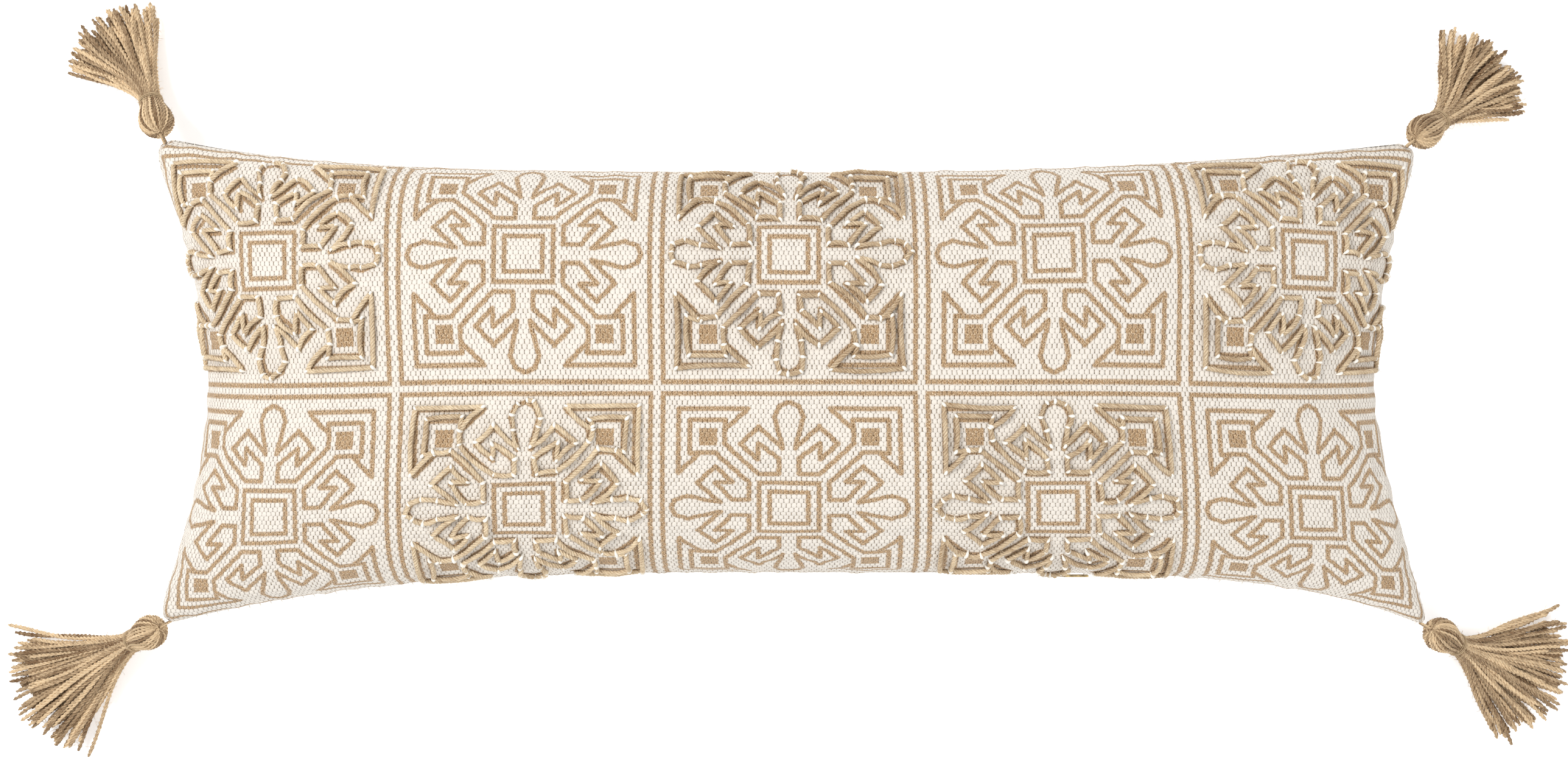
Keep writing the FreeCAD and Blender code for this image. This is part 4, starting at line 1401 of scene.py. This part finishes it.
def grid_faces(index: np.ndarray, flipped: bool) -> list[tuple[int, int, int, int]]:
    """Four-sided faces of a grid of vertex numbers."""
    a, b = index[:-1, :-1].ravel(), index[1:, :-1].ravel()
    c, d = index[1:, 1:].ravel(), index[:-1, 1:].ravel()
    order = (a, d, c, b) if flipped else (a, b, c, d)
    return list(zip(*(corner.tolist() for corner in order)))


@dataclass
class Cover:
    """The woven cover: two panels that meet at the seam, open along the zip's lips."""

    form: ClothForm
    tiles: TileGrid
    lip_half_length: float = 0.200
    lip_gap: float = 3.6 * MM
    lip_depth: float = 7.0 * MM
    stitch: StitchGauge = StitchGauge(2.2 * MM, 0.35 * MM, 0.32 * MM)

    def lips(self, grid: np.ndarray, side: float) -> np.ndarray:
        """Panel grid with its -Y rim lifted off the zip and folded inwards by two more rows."""
        x = grid[:, 0, 0]
        opening = self.lip_gap * smooth_step((self.lip_half_length - np.abs(x)) / 0.008)
        grid = grid.copy()
        for row, share in enumerate((1.0, 0.55, 0.2, 0.05)):
            grid[:, row, 2] += side * opening * share
        fold = np.repeat(grid[:, :1], 2, axis=1)
        open_share = opening / self.lip_gap
        for row, (depth, lift) in enumerate(((1.0, 0.0), (0.25, 0.12))):
            fold[:, row, 1] += depth * self.lip_depth * open_share
            fold[:, row, 2] += side * lift * self.lip_depth * open_share - side * 0.4 * MM * open_share
        return np.concatenate([fold, grid], axis=1)

    def build(self) -> bpy.types.Object:
        """Make the cover, its chart and its two cloths.

        Returns:
            The finished cover.
        """
        form = self.form
        front, back = self.lips(form.front, 1.0), self.lips(form.back, -1.0)
        rows, columns = front.shape[:2]
        index_front = np.arange(rows * columns).reshape(rows, columns)
        index_back = index_front + rows * columns
        points = np.concatenate([front.reshape(-1, 3), back.reshape(-1, 3)])
        faces = grid_faces(index_front, False) + grid_faces(index_back, True)
        mesh = bpy.data.meshes.new("pillow_cover")
        mesh.from_pydata(points.tolist(), [], faces)
        chart_u = np.linspace(0.0, 1.0, rows)
        inner = np.linspace(0.0, 1.0, columns - 2)
        chart_v = np.concatenate([[-0.02, -0.006], inner])
        chart = np.stack(np.meshgrid(chart_u, chart_v, indexing="ij"), axis=-1)
        length, width = 2 * form.shape.panel_half_length, 2 * form.shape.panel_half_width
        slip = form.slip(length * (chart[..., 0] - 0.5), width * (chart[..., 1] - 0.5))
        chart[..., 1] += slip / width
        chart = chart.reshape(-1, 2)
        chart = np.concatenate([chart, chart])
        layer = mesh.uv_layers.new(name="Panel")
        loops = np.empty(len(mesh.loops), dtype=np.int32)
        mesh.loops.foreach_get("vertex_index", loops)
        layer.data.foreach_set("uv", chart[loops].astype(np.float32).ravel())
        cloth = WovenCloth(form.shape, self.tiles)
        mesh.materials.append(cloth.material("printed_cloth", True))
        mesh.materials.append(cloth.material("plain_cloth", False))
        half = len(faces) // 2
        sides = np.concatenate([np.zeros(half, np.int32), np.ones(len(faces) - half, np.int32)])
        mesh.polygons.foreach_set("material_index", sides)
        mesh.polygons.foreach_set("use_smooth", np.ones(len(faces), bool))
        mesh.update()
        piece = add_object("pillow_cover", mesh)
        weld(piece)
        settle(piece, ROOT, ("cover_front", "cover_back"))
        return piece

    def seam_thread(self) -> None:
        """Stitches that show as small dents of thread along the seam."""
        grid = self.form.front
        border = [grid[:, 0], grid[:, -1], grid[0, :], grid[-1, :]]
        points, headings = [], []
        for line in border:
            for start, end in zip(line[2:-3:3], line[4:-1:3]):
                middle = 0.5 * (start + end)
                if middle[1] < 0 and abs(middle[0]) < self.lip_half_length + 0.01:
                    continue
                points.append(middle)
                headings.append(end - start)
        points, headings = np.array(points), np.array(headings)
        inward = -points * [1.0, 1.0, 0.0]
        inward /= np.linalg.norm(inward, axis=1, keepdims=True)
        places = (points + inward * 0.5 * MM, headings, -inward)
        piece = self.stitch.sew("cover_seam_stitches", places, 3)
        settle(piece, ROOT, ("cover_seam_thread",))


def weld(piece: bpy.types.Object) -> None:
    """Merge vertices that lie on each other."""
    modifier = piece.modifiers.new("weld", "WELD")
    modifier.merge_threshold = 1e-5
    depsgraph = bpy.context.evaluated_depsgraph_get()
    merged = bpy.data.meshes.new_from_object(piece.evaluated_get(depsgraph), depsgraph=depsgraph)
    piece.modifiers.clear()
    piece.data = merged


# ---------------------------------------------------------------------------
# Insert
# ---------------------------------------------------------------------------
@dataclass
class Insert:
    """The filled insert inside the cover."""

    form: ClothForm
    edge_inset: float = 13.0 * MM
    face_inset: float = 4.0 * MM
    filling_inset: float = 6.0 * MM
    coarsen: int = 3
    stitch: StitchGauge = StitchGauge(3.0 * MM, 0.4 * MM, 0.35 * MM)

    def layer(self, front: bool, extra: float) -> np.ndarray:
        """Grid of one insert face, inside the cover by the insets and extra."""
        grid = (self.form.front if front else self.form.back)[:: self.coarsen, :: self.coarsen]
        normal = grid_normals(grid, 1.0 if front else -1.0)
        shape = self.form.shape
        to_edge = np.minimum(*shape.to_rim(*shape.panel_grid(grid.shape[:2])))
        rim = np.exp(-((to_edge / 0.02) ** 2))[..., None]
        width = grid * [1.0, 1.0, 0.0]
        span = np.array([shape.panel_half_length, shape.panel_half_width, 1.0])
        inward = -width / span
        inset = inward * (self.edge_inset + extra) * 1.2
        return grid + inset * rim - normal * (self.face_inset + extra) * (1.0 - rim)

    def build(self) -> None:
        """Make both ticking panels, the filling and the insert's stitching."""
        front, back = self.layer(True, 0.0), self.layer(False, 0.0)
        index = np.arange(front[..., 0].size).reshape(front.shape[:2])
        for name, grid, flipped in (("insert_front", front, False), ("insert_back", back, True)):
            piece = sheet(name + "_ticking", grid, grid_faces(index, flipped), Finish.TICKING)
            settle(piece, ROOT, (name,))
        extra = self.filling_inset - self.face_inset
        points = np.stack([self.layer(True, extra), self.layer(False, extra)])
        faces = grid_faces(index, False) + grid_faces(index + index.size, True)
        piece = sheet("fibre_filling", points, faces, Finish.FIBRE)
        weld(piece)
        settle(piece, ROOT, ("insert_fill",))
        self.stitches()

    def stitches(self) -> None:
        """Overlock stitches round the insert's own seam."""
        grid = self.layer(True, 0.0)
        points, headings = [], []
        for line in (grid[:, 0], grid[:, -1], grid[0, :], grid[-1, :]):
            points += list(0.5 * (line[:-1] + line[1:]))
            headings += list(line[1:] - line[:-1])
        points, headings = np.array(points), np.array(headings)
        outward = points * [1.0, 1.0, 0.0]
        outward /= np.linalg.norm(outward, axis=1, keepdims=True)
        piece = self.stitch.sew("insert_seam_stitches", (points, headings, outward), 5)
        settle(piece, ROOT, ("insert_seam_thread",))


# ---------------------------------------------------------------------------
# Couched yarn
# ---------------------------------------------------------------------------
@dataclass
class Couching:
    """Jute laid over the printed outlines of every second tile and tied down at each bend."""

    form: ClothForm
    tiles: TileGrid
    gauge: YarnGauge = YarnGauge(0.90 * MM, 0.96 * MM, 7.6 * MM, 1.1 * MM, 60000.0, 3.2 * MM, 5.0, 3.0)
    tie: StitchGauge = StitchGauge(1.8 * MM, 2.9 * MM, 1.05 * MM)
    low: float = 1.1 * MM
    arch: float = 1.5 * MM
    bow: float = 1.8 * MM
    stray: float = 1.5 * MM
    overreach: float = 1.02
    samples_per_run: int = 9
    seed: int = 11

    def run(self, start: np.ndarray, end: np.ndarray, random: np.random.Generator) -> np.ndarray:
        """Flat path of one run, bowed to one side.

        Args:
            start: flat position that it leaves.
            end: flat position that it reaches.
            random: source of its bow.

        Returns:
            Flat positions and lift, as rows of x, y, lift.
        """
        share = np.linspace(0.0, 1.0, self.samples_per_run)[:-1]
        way = end - start
        length = np.linalg.norm(way)
        side = np.array([-way[1], way[0]]) / length
        swell = np.sin(np.pi * share)
        bow = self.bow * random.uniform(-1.0, 1.0) * min(1.0, length / 0.02)
        lift = self.low + self.arch * swell * min(1.0, length / 0.012)
        flat = start + way * share[:, None] + side * (bow * swell)[:, None]
        return np.column_stack([flat, lift])

    def path(self, centre: tuple, points: list, closed: bool, random: np.random.Generator) -> tuple:
        """Yarn path along one outline of a tile.

        Args:
            centre: flat centre of the tile.
            points: outline in tile half widths.
            closed: True if the last point joins the first.
            random: source of its unevenness.

        Returns:
            Path points, their normals, tie points, tie headings and tie normals.
        """
        flat = np.array(points) * self.overreach * [self.tiles.half_x, self.tiles.half_y] + centre
        flat += random.uniform(-self.stray, self.stray, flat.shape)
        count = len(flat)
        last = count if closed else count - 1
        rows = [self.run(flat[i], flat[(i + 1) % count], random) for i in range(last)]
        rows = np.concatenate(rows + [np.array([[*flat[last % count], self.low]])])
        if closed:
            rows = rows[: -self.samples_per_run]
        spot, normal = self.form.place(rows[:, 0], rows[:, 1])
        path = spot + normal * rows[:, 2:3]
        tie_spot, tie_normal = self.form.place(flat[:, 0], flat[:, 1])
        before = np.roll(flat, 1, axis=0) - flat
        after = np.roll(flat, -1, axis=0) - flat
        before /= np.linalg.norm(before, axis=1, keepdims=True)
        after /= np.linalg.norm(after, axis=1, keepdims=True)
        across = before + after
        weak = np.linalg.norm(across, axis=1) < 0.3
        across[weak] = np.column_stack([-after[weak, 1], after[weak, 0]])
        heading = np.column_stack([across, np.zeros(count)])
        return path, normal, tie_spot, heading, tie_normal

    def build(self) -> None:
        """Lay the yarn and ties of every second tile."""
        for number, centre in enumerate(self.tiles.centres(), start=1):
            random = np.random.default_rng(self.seed + number)
            shift = random.uniform(-1.1 * MM, 1.1 * MM, 2)
            middle = (centre[0] + shift[0], centre[1] + shift[1])
            outlines = [(self.tiles.closed_outline(), True)]
            outlines += [(bracket, False) for bracket in self.tiles.brackets()]
            results = [self.path(middle, points, closed, random) for points, closed in outlines]
            paths = [result[0] for result in results]
            rises = [result[1] for result in results]
            yarn = self.gauge.spin("couched_jute_%d" % number, paths, rises, Finish.JUTE, number)
            settle(yarn, ROOT, ("couched_yarn_%d" % number,))
            places = tuple(np.concatenate([result[k] for result in results]) for k in (2, 3, 4))
            ties = self.tie.sew("couching_ties_%d" % number, places, number)
            settle(ties, ROOT, ("tie_stitches_%d" % number,))


# ---------------------------------------------------------------------------
# Zip
# ---------------------------------------------------------------------------
@dataclass
class EdgeZip:
    """The zip in the -Y seam: coils and stitching here, metal and tape as the frame has them."""

    form: ClothForm
    turn_pitch: float = 1.5 * MM
    wire_radius: float = 0.32 * MM
    overlap: float = 0.5 * MM
    stitch_offset: float = 6.2 * MM
    stitch_pitch: float = 4.0 * MM
    stitch: StitchGauge = StitchGauge(1.5 * MM, 0.3 * MM, 0.3 * MM)
    post_gap: float = 0.8 * MM

    def build(self) -> None:
        """Wind the coils, sew the tapes and finish the metal."""
        for number, side in enumerate(("upper", "lower")):
            self.coil(side, number)
            self.stitching(side, number)
            paint("zip_tape_" + side, Finish.TAPE)
        for node in ("zip_stop_closed", "zip_stop_open", "zip_slider", "zip_pull"):
            paint(node, Finish.METAL)

    def coil(self, side: str, number: int) -> None:
        """Wind one row of coil through its CAD bar and a little past the middle of the chain."""
        low, high = (np.array(corner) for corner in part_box("zip_coil_" + side))
        sign = 1.0 if side == "upper" else -1.0
        length = high[0] - low[0]
        half_height = 0.5 * (high[2] - low[2] + self.post_gap + self.overlap)
        middle = 0.5 * (low + high)
        middle[2] -= sign * 0.5 * (self.post_gap + self.overlap)
        middle[0] += number * 0.5 * self.turn_pitch
        values = {
            "Length": length - self.turn_pitch,
            "Turns": length / self.turn_pitch,
            "Half Depth": 0.5 * (high[1] - low[1]) - self.wire_radius,
            "Half Height": half_height - self.wire_radius,
            "Wire Radius": self.wire_radius,
            "Seed": number,
            "Finish": Finish.NYLON.get(),
        }
        still = np.array([[1.0, 0.0, 0.0]])
        source = point_mesh("coil_point", middle[None, :], still, still)
        piece = grow("zip_coil_%s_winding" % side, source, coil_tree(), values)
        settle(piece, ROOT, ("zip_coil_" + side,))

    def stitching(self, side: str, number: int) -> None:
        """Sew one tape to its lip of the cover."""
        grid = self.form.front if side == "upper" else self.form.back
        normals = self.form.front_normal if side == "upper" else self.form.back_normal
        steps = np.linalg.norm(np.diff(grid, axis=1), axis=2)
        length = np.concatenate([np.zeros((len(grid), 1)), np.cumsum(steps, axis=1)], axis=1)
        row = int(np.argmax(length[len(grid) // 2] > self.stitch_offset))
        line, rises = grid[:, row], normals[:, row]
        low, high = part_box("zip_tape_" + side)
        places = np.arange(low[0] + self.stitch_pitch, high[0] - self.stitch_pitch, self.stitch_pitch)
        points = np.column_stack([np.interp(places, line[:, 0], line[:, k]) for k in range(3)])
        rise = np.column_stack([np.interp(places, line[:, 0], rises[:, k]) for k in range(3)])
        heading = np.tile([1.0, 0.0, 0.0], (len(points), 1))
        places = (points + rise * 0.15 * MM, heading, rise)
        piece = self.stitch.sew("zip_stitches_" + side, places, number)
        settle(piece, ROOT, ("zip_stitching_" + side,))


def paint(node: str, finish: Finish) -> None:
    """Give a CAD node its finish."""
    piece = frame["nodes"][node]
    piece.data.materials.clear()
    piece.data.materials.append(finish.get())


# ---------------------------------------------------------------------------
# Tassels
# ---------------------------------------------------------------------------
@dataclass(frozen=True)
class TasselLie:
    """How one tassel lies: compass angles from +X and half its fan in degrees, and its fringe in metres."""

    head_angle: float
    fringe_angle: float
    half_fan: float
    fringe_length: float
    tail_thread: bool = False


LIES = {
    "top_left": TasselLie(117.0, 127.0, 34.0, 0.080),
    "top_right": TasselLie(33.0, 42.0, 41.0, 0.076),
    "bottom_left": TasselLie(207.0, 211.0, 32.0, 0.106, True),
    "bottom_right": TasselLie(-30.0, -26.0, 41.0, 0.093),
}


@dataclass
class Tassel:
    """One corner tassel of two-ply jute: eye, loop, folded head, binding and loose fringe."""

    name: str
    lie: TasselLie
    seed: int
    head_start: float = -3.6 * MM
    neck: float = 28.0 * MM
    head_radius: float = 12.3 * MM
    neck_radius: float = 8.0 * MM
    tilt: float = 32.0
    head_strands: int = 30
    fringe_strands: int = 125
    pile_height: float = 14.0 * MM
    tail_start: float = 4.0 * MM
    strand: YarnGauge = YarnGauge(0.90 * MM, 0.86 * MM, 6.4 * MM, 1.8 * MM, 30000.0, 4.0 * MM)
    head_strand: YarnGauge = YarnGauge(0.78 * MM, 0.62 * MM, 6.4 * MM, 1.6 * MM, 20000.0, 3.0 * MM)
    thread: YarnGauge = YarnGauge(0.24 * MM, 0.17 * MM, 3.0 * MM, 1.2 * MM, 0.0, 1.0 * MM, 4.0)
    cord: YarnGauge = YarnGauge(0.36 * MM, 0.26 * MM, 3.0 * MM, 0.5 * MM, 0.0, 1.0 * MM, 5.0)

    def __post_init__(self) -> None:
        """Read the hinges from the frame and set out the tassel's directions."""
        hinges = [joint for joint in frame["joints"] if "pos_m" in joint]
        places = {joint["name"]: np.array(joint["pos_m"], float) for joint in hinges}
        self.hinge = places["tassel_lift_" + self.name]
        self.eye = places["tassel_swing_" + self.name]
        self.random = np.random.default_rng(self.seed)
        out = compass(self.lie.head_angle)
        lean = math.radians(self.tilt)
        self.side = np.cross(UP, out)
        self.axis = out * math.cos(lean) - UP * math.sin(lean)
        self.crown = out * math.sin(lean) + UP * math.cos(lean)

    def head_point(self, distance: np.ndarray, angle: np.ndarray, radius: np.ndarray) -> np.ndarray:
        """Point round the head's axis."""
        distance, angle, radius = np.broadcast_arrays(distance, angle, radius)
        offset = self.side * np.cos(angle)[..., None] + self.crown * np.sin(angle)[..., None]
        return self.hinge + self.axis * distance[..., None] + offset * radius[..., None]

    def away(self, path: np.ndarray, distance: np.ndarray) -> np.ndarray:
        """Ways to a path's points from the places at those distances along the head's axis."""
        return path - (self.hinge + self.axis * distance[:, None])

    def head_profile(self, share: np.ndarray) -> np.ndarray:
        """Radius of the head from its rounded end (share 0) to the neck (share 1)."""
        dome = np.sqrt(np.clip(1.0 - (1.0 - np.minimum(share / 0.40, 1.0)) ** 2, 0.0, 1.0))
        narrow = smooth_step((share - 0.38) / 0.62)
        return dome * (self.head_radius * (1.0 - narrow) + self.neck_radius * narrow)

    def build(self) -> None:
        """Make every piece of the tassel."""
        self.build_head()
        self.build_fringe()
        self.build_binding()
        self.build_loop()

    def build_head(self) -> None:
        """Folded strands from the rounded end to the neck, over a core that fills the gaps."""
        share = np.linspace(0.0, 1.0, 22)
        length = self.neck - self.head_start
        sink = self.head_strand.ply_radius + 0.6 * self.head_strand.ply_offset
        paths, rises = [], []
        for k in range(self.head_strands):
            base = 2 * math.pi * (k + self.random.uniform(-0.18, 0.18)) / self.head_strands
            twist = base + 0.25 * share + 0.05 * self.random.uniform(-1, 1) * np.sin(np.pi * share)
            radius = self.head_profile(share) - sink + self.random.uniform(0.0, 0.35) * MM
            inward = 1.3 * MM * (1.0 - smooth_step(share / 0.10))
            distance = self.head_start + length * share
            path = self.head_point(distance + inward, twist, np.maximum(radius, 0.7 * MM))
            paths.append(path)
            rises.append(self.away(path, distance))
        strands = self.head_strand.spin("head_strands", paths, rises, Finish.TASSEL, self.seed)
        around = np.linspace(0.0, 2 * math.pi, 25)[:-1]
        rings = []
        for ring_share in np.linspace(0.05, 1.0, 14):
            radius = max(float(self.head_profile(np.array(ring_share))) - 2.0 * sink, 0.3 * MM)
            rings.append(self.head_point(self.head_start + length * ring_share, around, radius))
        core = closed_tube("head_core", np.stack(rings), Finish.TASSEL)
        lap = np.linspace(0.0, 2 * math.pi, 25)[:, None]
        rest_out = self.hinge - self.eye
        rest_out /= np.linalg.norm(rest_out)
        ring = self.hinge + 1.5 * MM * (rest_out * np.cos(lap) + UP * np.sin(lap))
        link = self.cord.spin("head_ring", [ring], [np.tile(self.side, (25, 1))], Finish.TASSEL, self.seed)
        piece = join([strands, core, link], "tassel_crown_" + self.name)
        settle(piece, "tassel_" + self.name, ("tassel_head_" + self.name,))

    def build_fringe(self) -> None:
        """Loose strands that leave the neck, fan out and come to rest on the surface below."""
        neck = self.hinge + self.axis * (self.neck - 1.0 * MM)
        radius = self.strand.ply_radius + self.strand.ply_offset
        share = np.linspace(0.0, 1.0, 18)
        golden = math.pi * (3.0 - math.sqrt(5.0))
        paths, rises = [], []
        for k in range(self.fringe_strands):
            reach = math.sqrt((k + 0.5) / self.fringe_strands)
            across, level = reach * math.cos(k * golden), reach * math.sin(k * golden)
            start = neck + (self.side * across + self.crown * level) * (self.neck_radius - radius)
            fan = across + self.random.uniform(-0.12, 0.12)
            way = compass(self.lie.fringe_angle + self.lie.half_fan * fan)
            length = self.lie.fringe_length * self.random.uniform(0.80, 1.02) * (1.0 - 0.05 * fan * fan)
            stack = max(0.5 * (level + 1.0) * self.pile_height * (1.0 - 0.5 * fan * fan), 0.0)
            tip = neck + way * length
            tip[2] = radius + stack + self.random.uniform(0.0, 1.5) * MM
            lead = start + self.axis * (0.24 * length)
            lead[2] = max(lead[2], tip[2])
            bend = compass(self.lie.fringe_angle + self.lie.half_fan * fan * 1.15)
            trail = tip - bend * (0.45 * length)
            trail[2] = tip[2] + 0.5 * MM
            path = bezier(start, lead, trail, tip, share)
            wave = self.random.uniform(0.6, 2.6) * MM
            phase = self.random.uniform(0.0, 2 * math.pi)
            sway = wave * share * np.sin(8.0 * share + phase)
            path += np.cross(UP, way) * sway[:, None]
            path[:, 2] = np.maximum(path[:, 2], radius + 0.1 * MM)
            paths.append(path)
            rises.append(np.tile(UP, (len(path), 1)))
        fringe = self.strand.spin("tassel_fringe_" + self.name, paths, rises, Finish.TASSEL, self.seed + 40)
        settle(fringe, "tassel_" + self.name, ("tassel_skirt_" + self.name,))

    def build_binding(self) -> None:
        """Thread wound unevenly round the neck, with a loose tail on one tassel."""
        turns, count = 6.0, 150
        share = np.linspace(0.0, 1.0, count)
        angle = 2 * math.pi * turns * share
        drift = 1.8 * MM * np.sin(2 * math.pi * share * 1.5) + 0.7 * MM * np.sin(angle * 0.5)
        distance = self.neck + drift
        path = self.head_point(distance, angle, np.full(count, self.neck_radius + 0.4 * MM))
        rise = self.away(path, distance)
        pieces = [self.thread.spin("binding", [path], [rise], Finish.BINDING, self.seed)]
        if self.lie.tail_thread:
            share = np.linspace(0.0, 1.0, 24)
            angle = 1.05 + 0.35 * np.sin(2.4 * share)
            distance = self.tail_start + (self.neck - self.tail_start) * share
            head_share = (distance - self.head_start) / (self.neck - self.head_start)
            path = self.head_point(distance, angle, self.head_profile(head_share) + 1.0 * MM)
            rise = self.away(path, distance)
            pieces.append(self.cord.spin("tail", [path], [rise], Finish.BINDING, self.seed))
        piece = join(pieces, "neck_binding_" + self.name)
        settle(piece, "tassel_" + self.name, ("tassel_binding_" + self.name,))

    def build_loop(self) -> None:
        """Cord loop through the eye, and the thread eye sewn into the corner."""
        lap = np.linspace(0.0, 2 * math.pi, 33)
        low, high = (np.array(corner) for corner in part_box("tassel_loop_" + self.name))
        radius = 0.5 * (high[0] - low[0]) - 0.6 * MM
        out = np.array([np.cos(lap), np.sin(lap), np.zeros(33)]).T
        upward = np.tile(UP, (33, 1))
        path = 0.5 * (low + high) + out * radius
        loop = self.cord.spin("hanging_loop_" + self.name, [path], [upward], Finish.TASSEL, 1)
        settle(loop, "swivel_" + self.name, ("tassel_loop_" + self.name,))
        inward = (self.eye - self.hinge) * [1.0, 1.0, 0.0]
        inward /= np.linalg.norm(inward)
        side = np.array([-inward[1], inward[0], 0.0])
        share = np.linspace(0.0, 1.0, 20)
        paths, rises = [], []
        for offset in (-0.5 * MM, 0.0, 0.5 * MM):
            reach = 8.5 * MM * np.abs(2 * share - 1.0) ** 3
            path = self.eye + inward * reach[:, None] + side * offset
            path[:, 2] += 2.1 * MM * np.cos(math.pi * share)
            paths.append(path)
            rises.append(np.tile(side, (20, 1)))
        eye = self.cord.spin("thread_eye_" + self.name, paths, rises, Finish.TASSEL, 2)
        settle(eye, ROOT, ("corner_eye_" + self.name,))


def compass(degrees: float) -> np.ndarray:
    """Level unit direction at an angle from +X."""
    angle = math.radians(degrees)
    return np.array([math.cos(angle), math.sin(angle), 0.0])


def bezier(p0: np.ndarray, p1: np.ndarray, p2: np.ndarray, p3: np.ndarray, share: np.ndarray) -> np.ndarray:
    """Points of a cubic curve with four control points."""
    t = share[:, None]
    return (1 - t) ** 3 * p0 + 3 * (1 - t) ** 2 * t * p1 + 3 * (1 - t) * t**2 * p2 + t**3 * p3


def closed_tube(name: str, grid: np.ndarray, finish: Finish) -> bpy.types.Object:
    """Tube of one finish through rings of points, closed at both ends."""
    rings, count = grid.shape[:2]
    faces = []
    for ring in range(rings - 1):
        for k in range(count):
            following = (k + 1) % count
            a, b = ring * count + k, ring * count + following
            faces.append((a, b, b + count, a + count))
    faces.append(tuple(range(count))[::-1])
    faces.append(tuple((rings - 1) * count + k for k in range(count)))
    return sheet(name, grid, faces, finish)


# ---------------------------------------------------------------------------
# Studio
# ---------------------------------------------------------------------------
@dataclass(frozen=True)
class SoftLight:
    """Square soft light aimed at the pillow: its place and side in metres, and its power in watts."""

    name: str
    place: tuple
    size: float
    power: float

    def build(self) -> None:
        """Hang the light."""
        data = bpy.data.lights.new(self.name, "AREA")
        data.size = self.size
        data.energy = self.power
        lamp = bpy.data.objects.new(self.name, data)
        lamp.location = self.place
        aim = np.array([0.0, 0.0, 0.05]) - np.array(self.place)
        yaw = math.atan2(aim[1], aim[0])
        pitch = math.atan2(np.hypot(aim[0], aim[1]), -aim[2])
        lamp.rotation_euler = (pitch, 0.0, yaw - 0.5 * math.pi)
        bpy.context.scene.collection.objects.link(lamp)


@dataclass
class Studio:
    """Pale floor, soft lights and the camera above the pillow."""

    key: SoftLight = SoftLight("key", (-1.4, 0.8, 2.3), 0.8, 42.0)
    fill: SoftLight = SoftLight("fill", (1.3, -1.2, 2.2), 2.2, 22.0)
    world_strength: float = 0.68
    floor_glow: float = 0.35
    floor_half: float = 6.0
    camera_height: float = 1.357
    camera_forward: float = 0.050
    lens: float = 42.08
    shift: tuple = (-0.0031, -0.0426)

    def build(self) -> None:
        """Set up the floor, the lights and the camera."""
        self.floor()
        self.key.build()
        self.fill.build()
        world = bpy.data.worlds.new("studio")
        world.use_nodes = True
        background = world.node_tree.nodes["Background"].inputs
        background["Color"].default_value = (1.0, 1.0, 1.0, 1.0)
        background["Strength"].default_value = self.world_strength
        scene = bpy.context.scene
        scene.world = world
        scene.view_settings.view_transform = "Standard"
        data = bpy.data.cameras.new("camera")
        data.lens = self.lens
        data.sensor_width = 36.0
        data.shift_x, data.shift_y = self.shift
        camera = bpy.data.objects.new("camera", data)
        camera.location = (0.0, self.camera_forward, self.camera_height)
        scene.collection.objects.link(camera)
        scene.camera = camera

    def floor(self) -> None:
        """Plain pale floor under the pillow."""
        mesh = bpy.data.meshes.new("floor")
        signs = ((-1, -1), (1, -1), (1, 1), (-1, 1))
        corners = [(i * self.floor_half, j * self.floor_half, -0.2 * MM) for i, j in signs]
        mesh.from_pydata(corners, [], [(0, 1, 2, 3)])
        material, graph = new_material("pale_floor")
        shader = principled(graph, 0.9)
        shader.inputs["Base Color"].default_value = (0.93, 0.93, 0.93, 1.0)
        shader.inputs["Emission Color"].default_value = (1.0, 1.0, 1.0, 1.0)
        shader.inputs["Emission Strength"].default_value = self.floor_glow
        mesh.materials.append(material)
        floor = add_object("floor", mesh)


def main() -> None:
    """Build and dress every sub-assembly in order."""
    logging.basicConfig(level=logging.INFO, format="%(name)s %(message)s")
    shape = CoverShape()
    tiles = TileGrid()
    form = ClothForm(shape)
    form.inflate()
    cover = Cover(form, tiles)
    cover.build()
    cover.seam_thread()
    Insert(form).build()
    Couching(form, tiles).build()
    EdgeZip(form).build()
    for seed, (name, lie) in enumerate(LIES.items(), start=1):
        Tassel(name, lie, seed * 7).build()
    Studio().build()


if __name__ == "__main__":
    main()
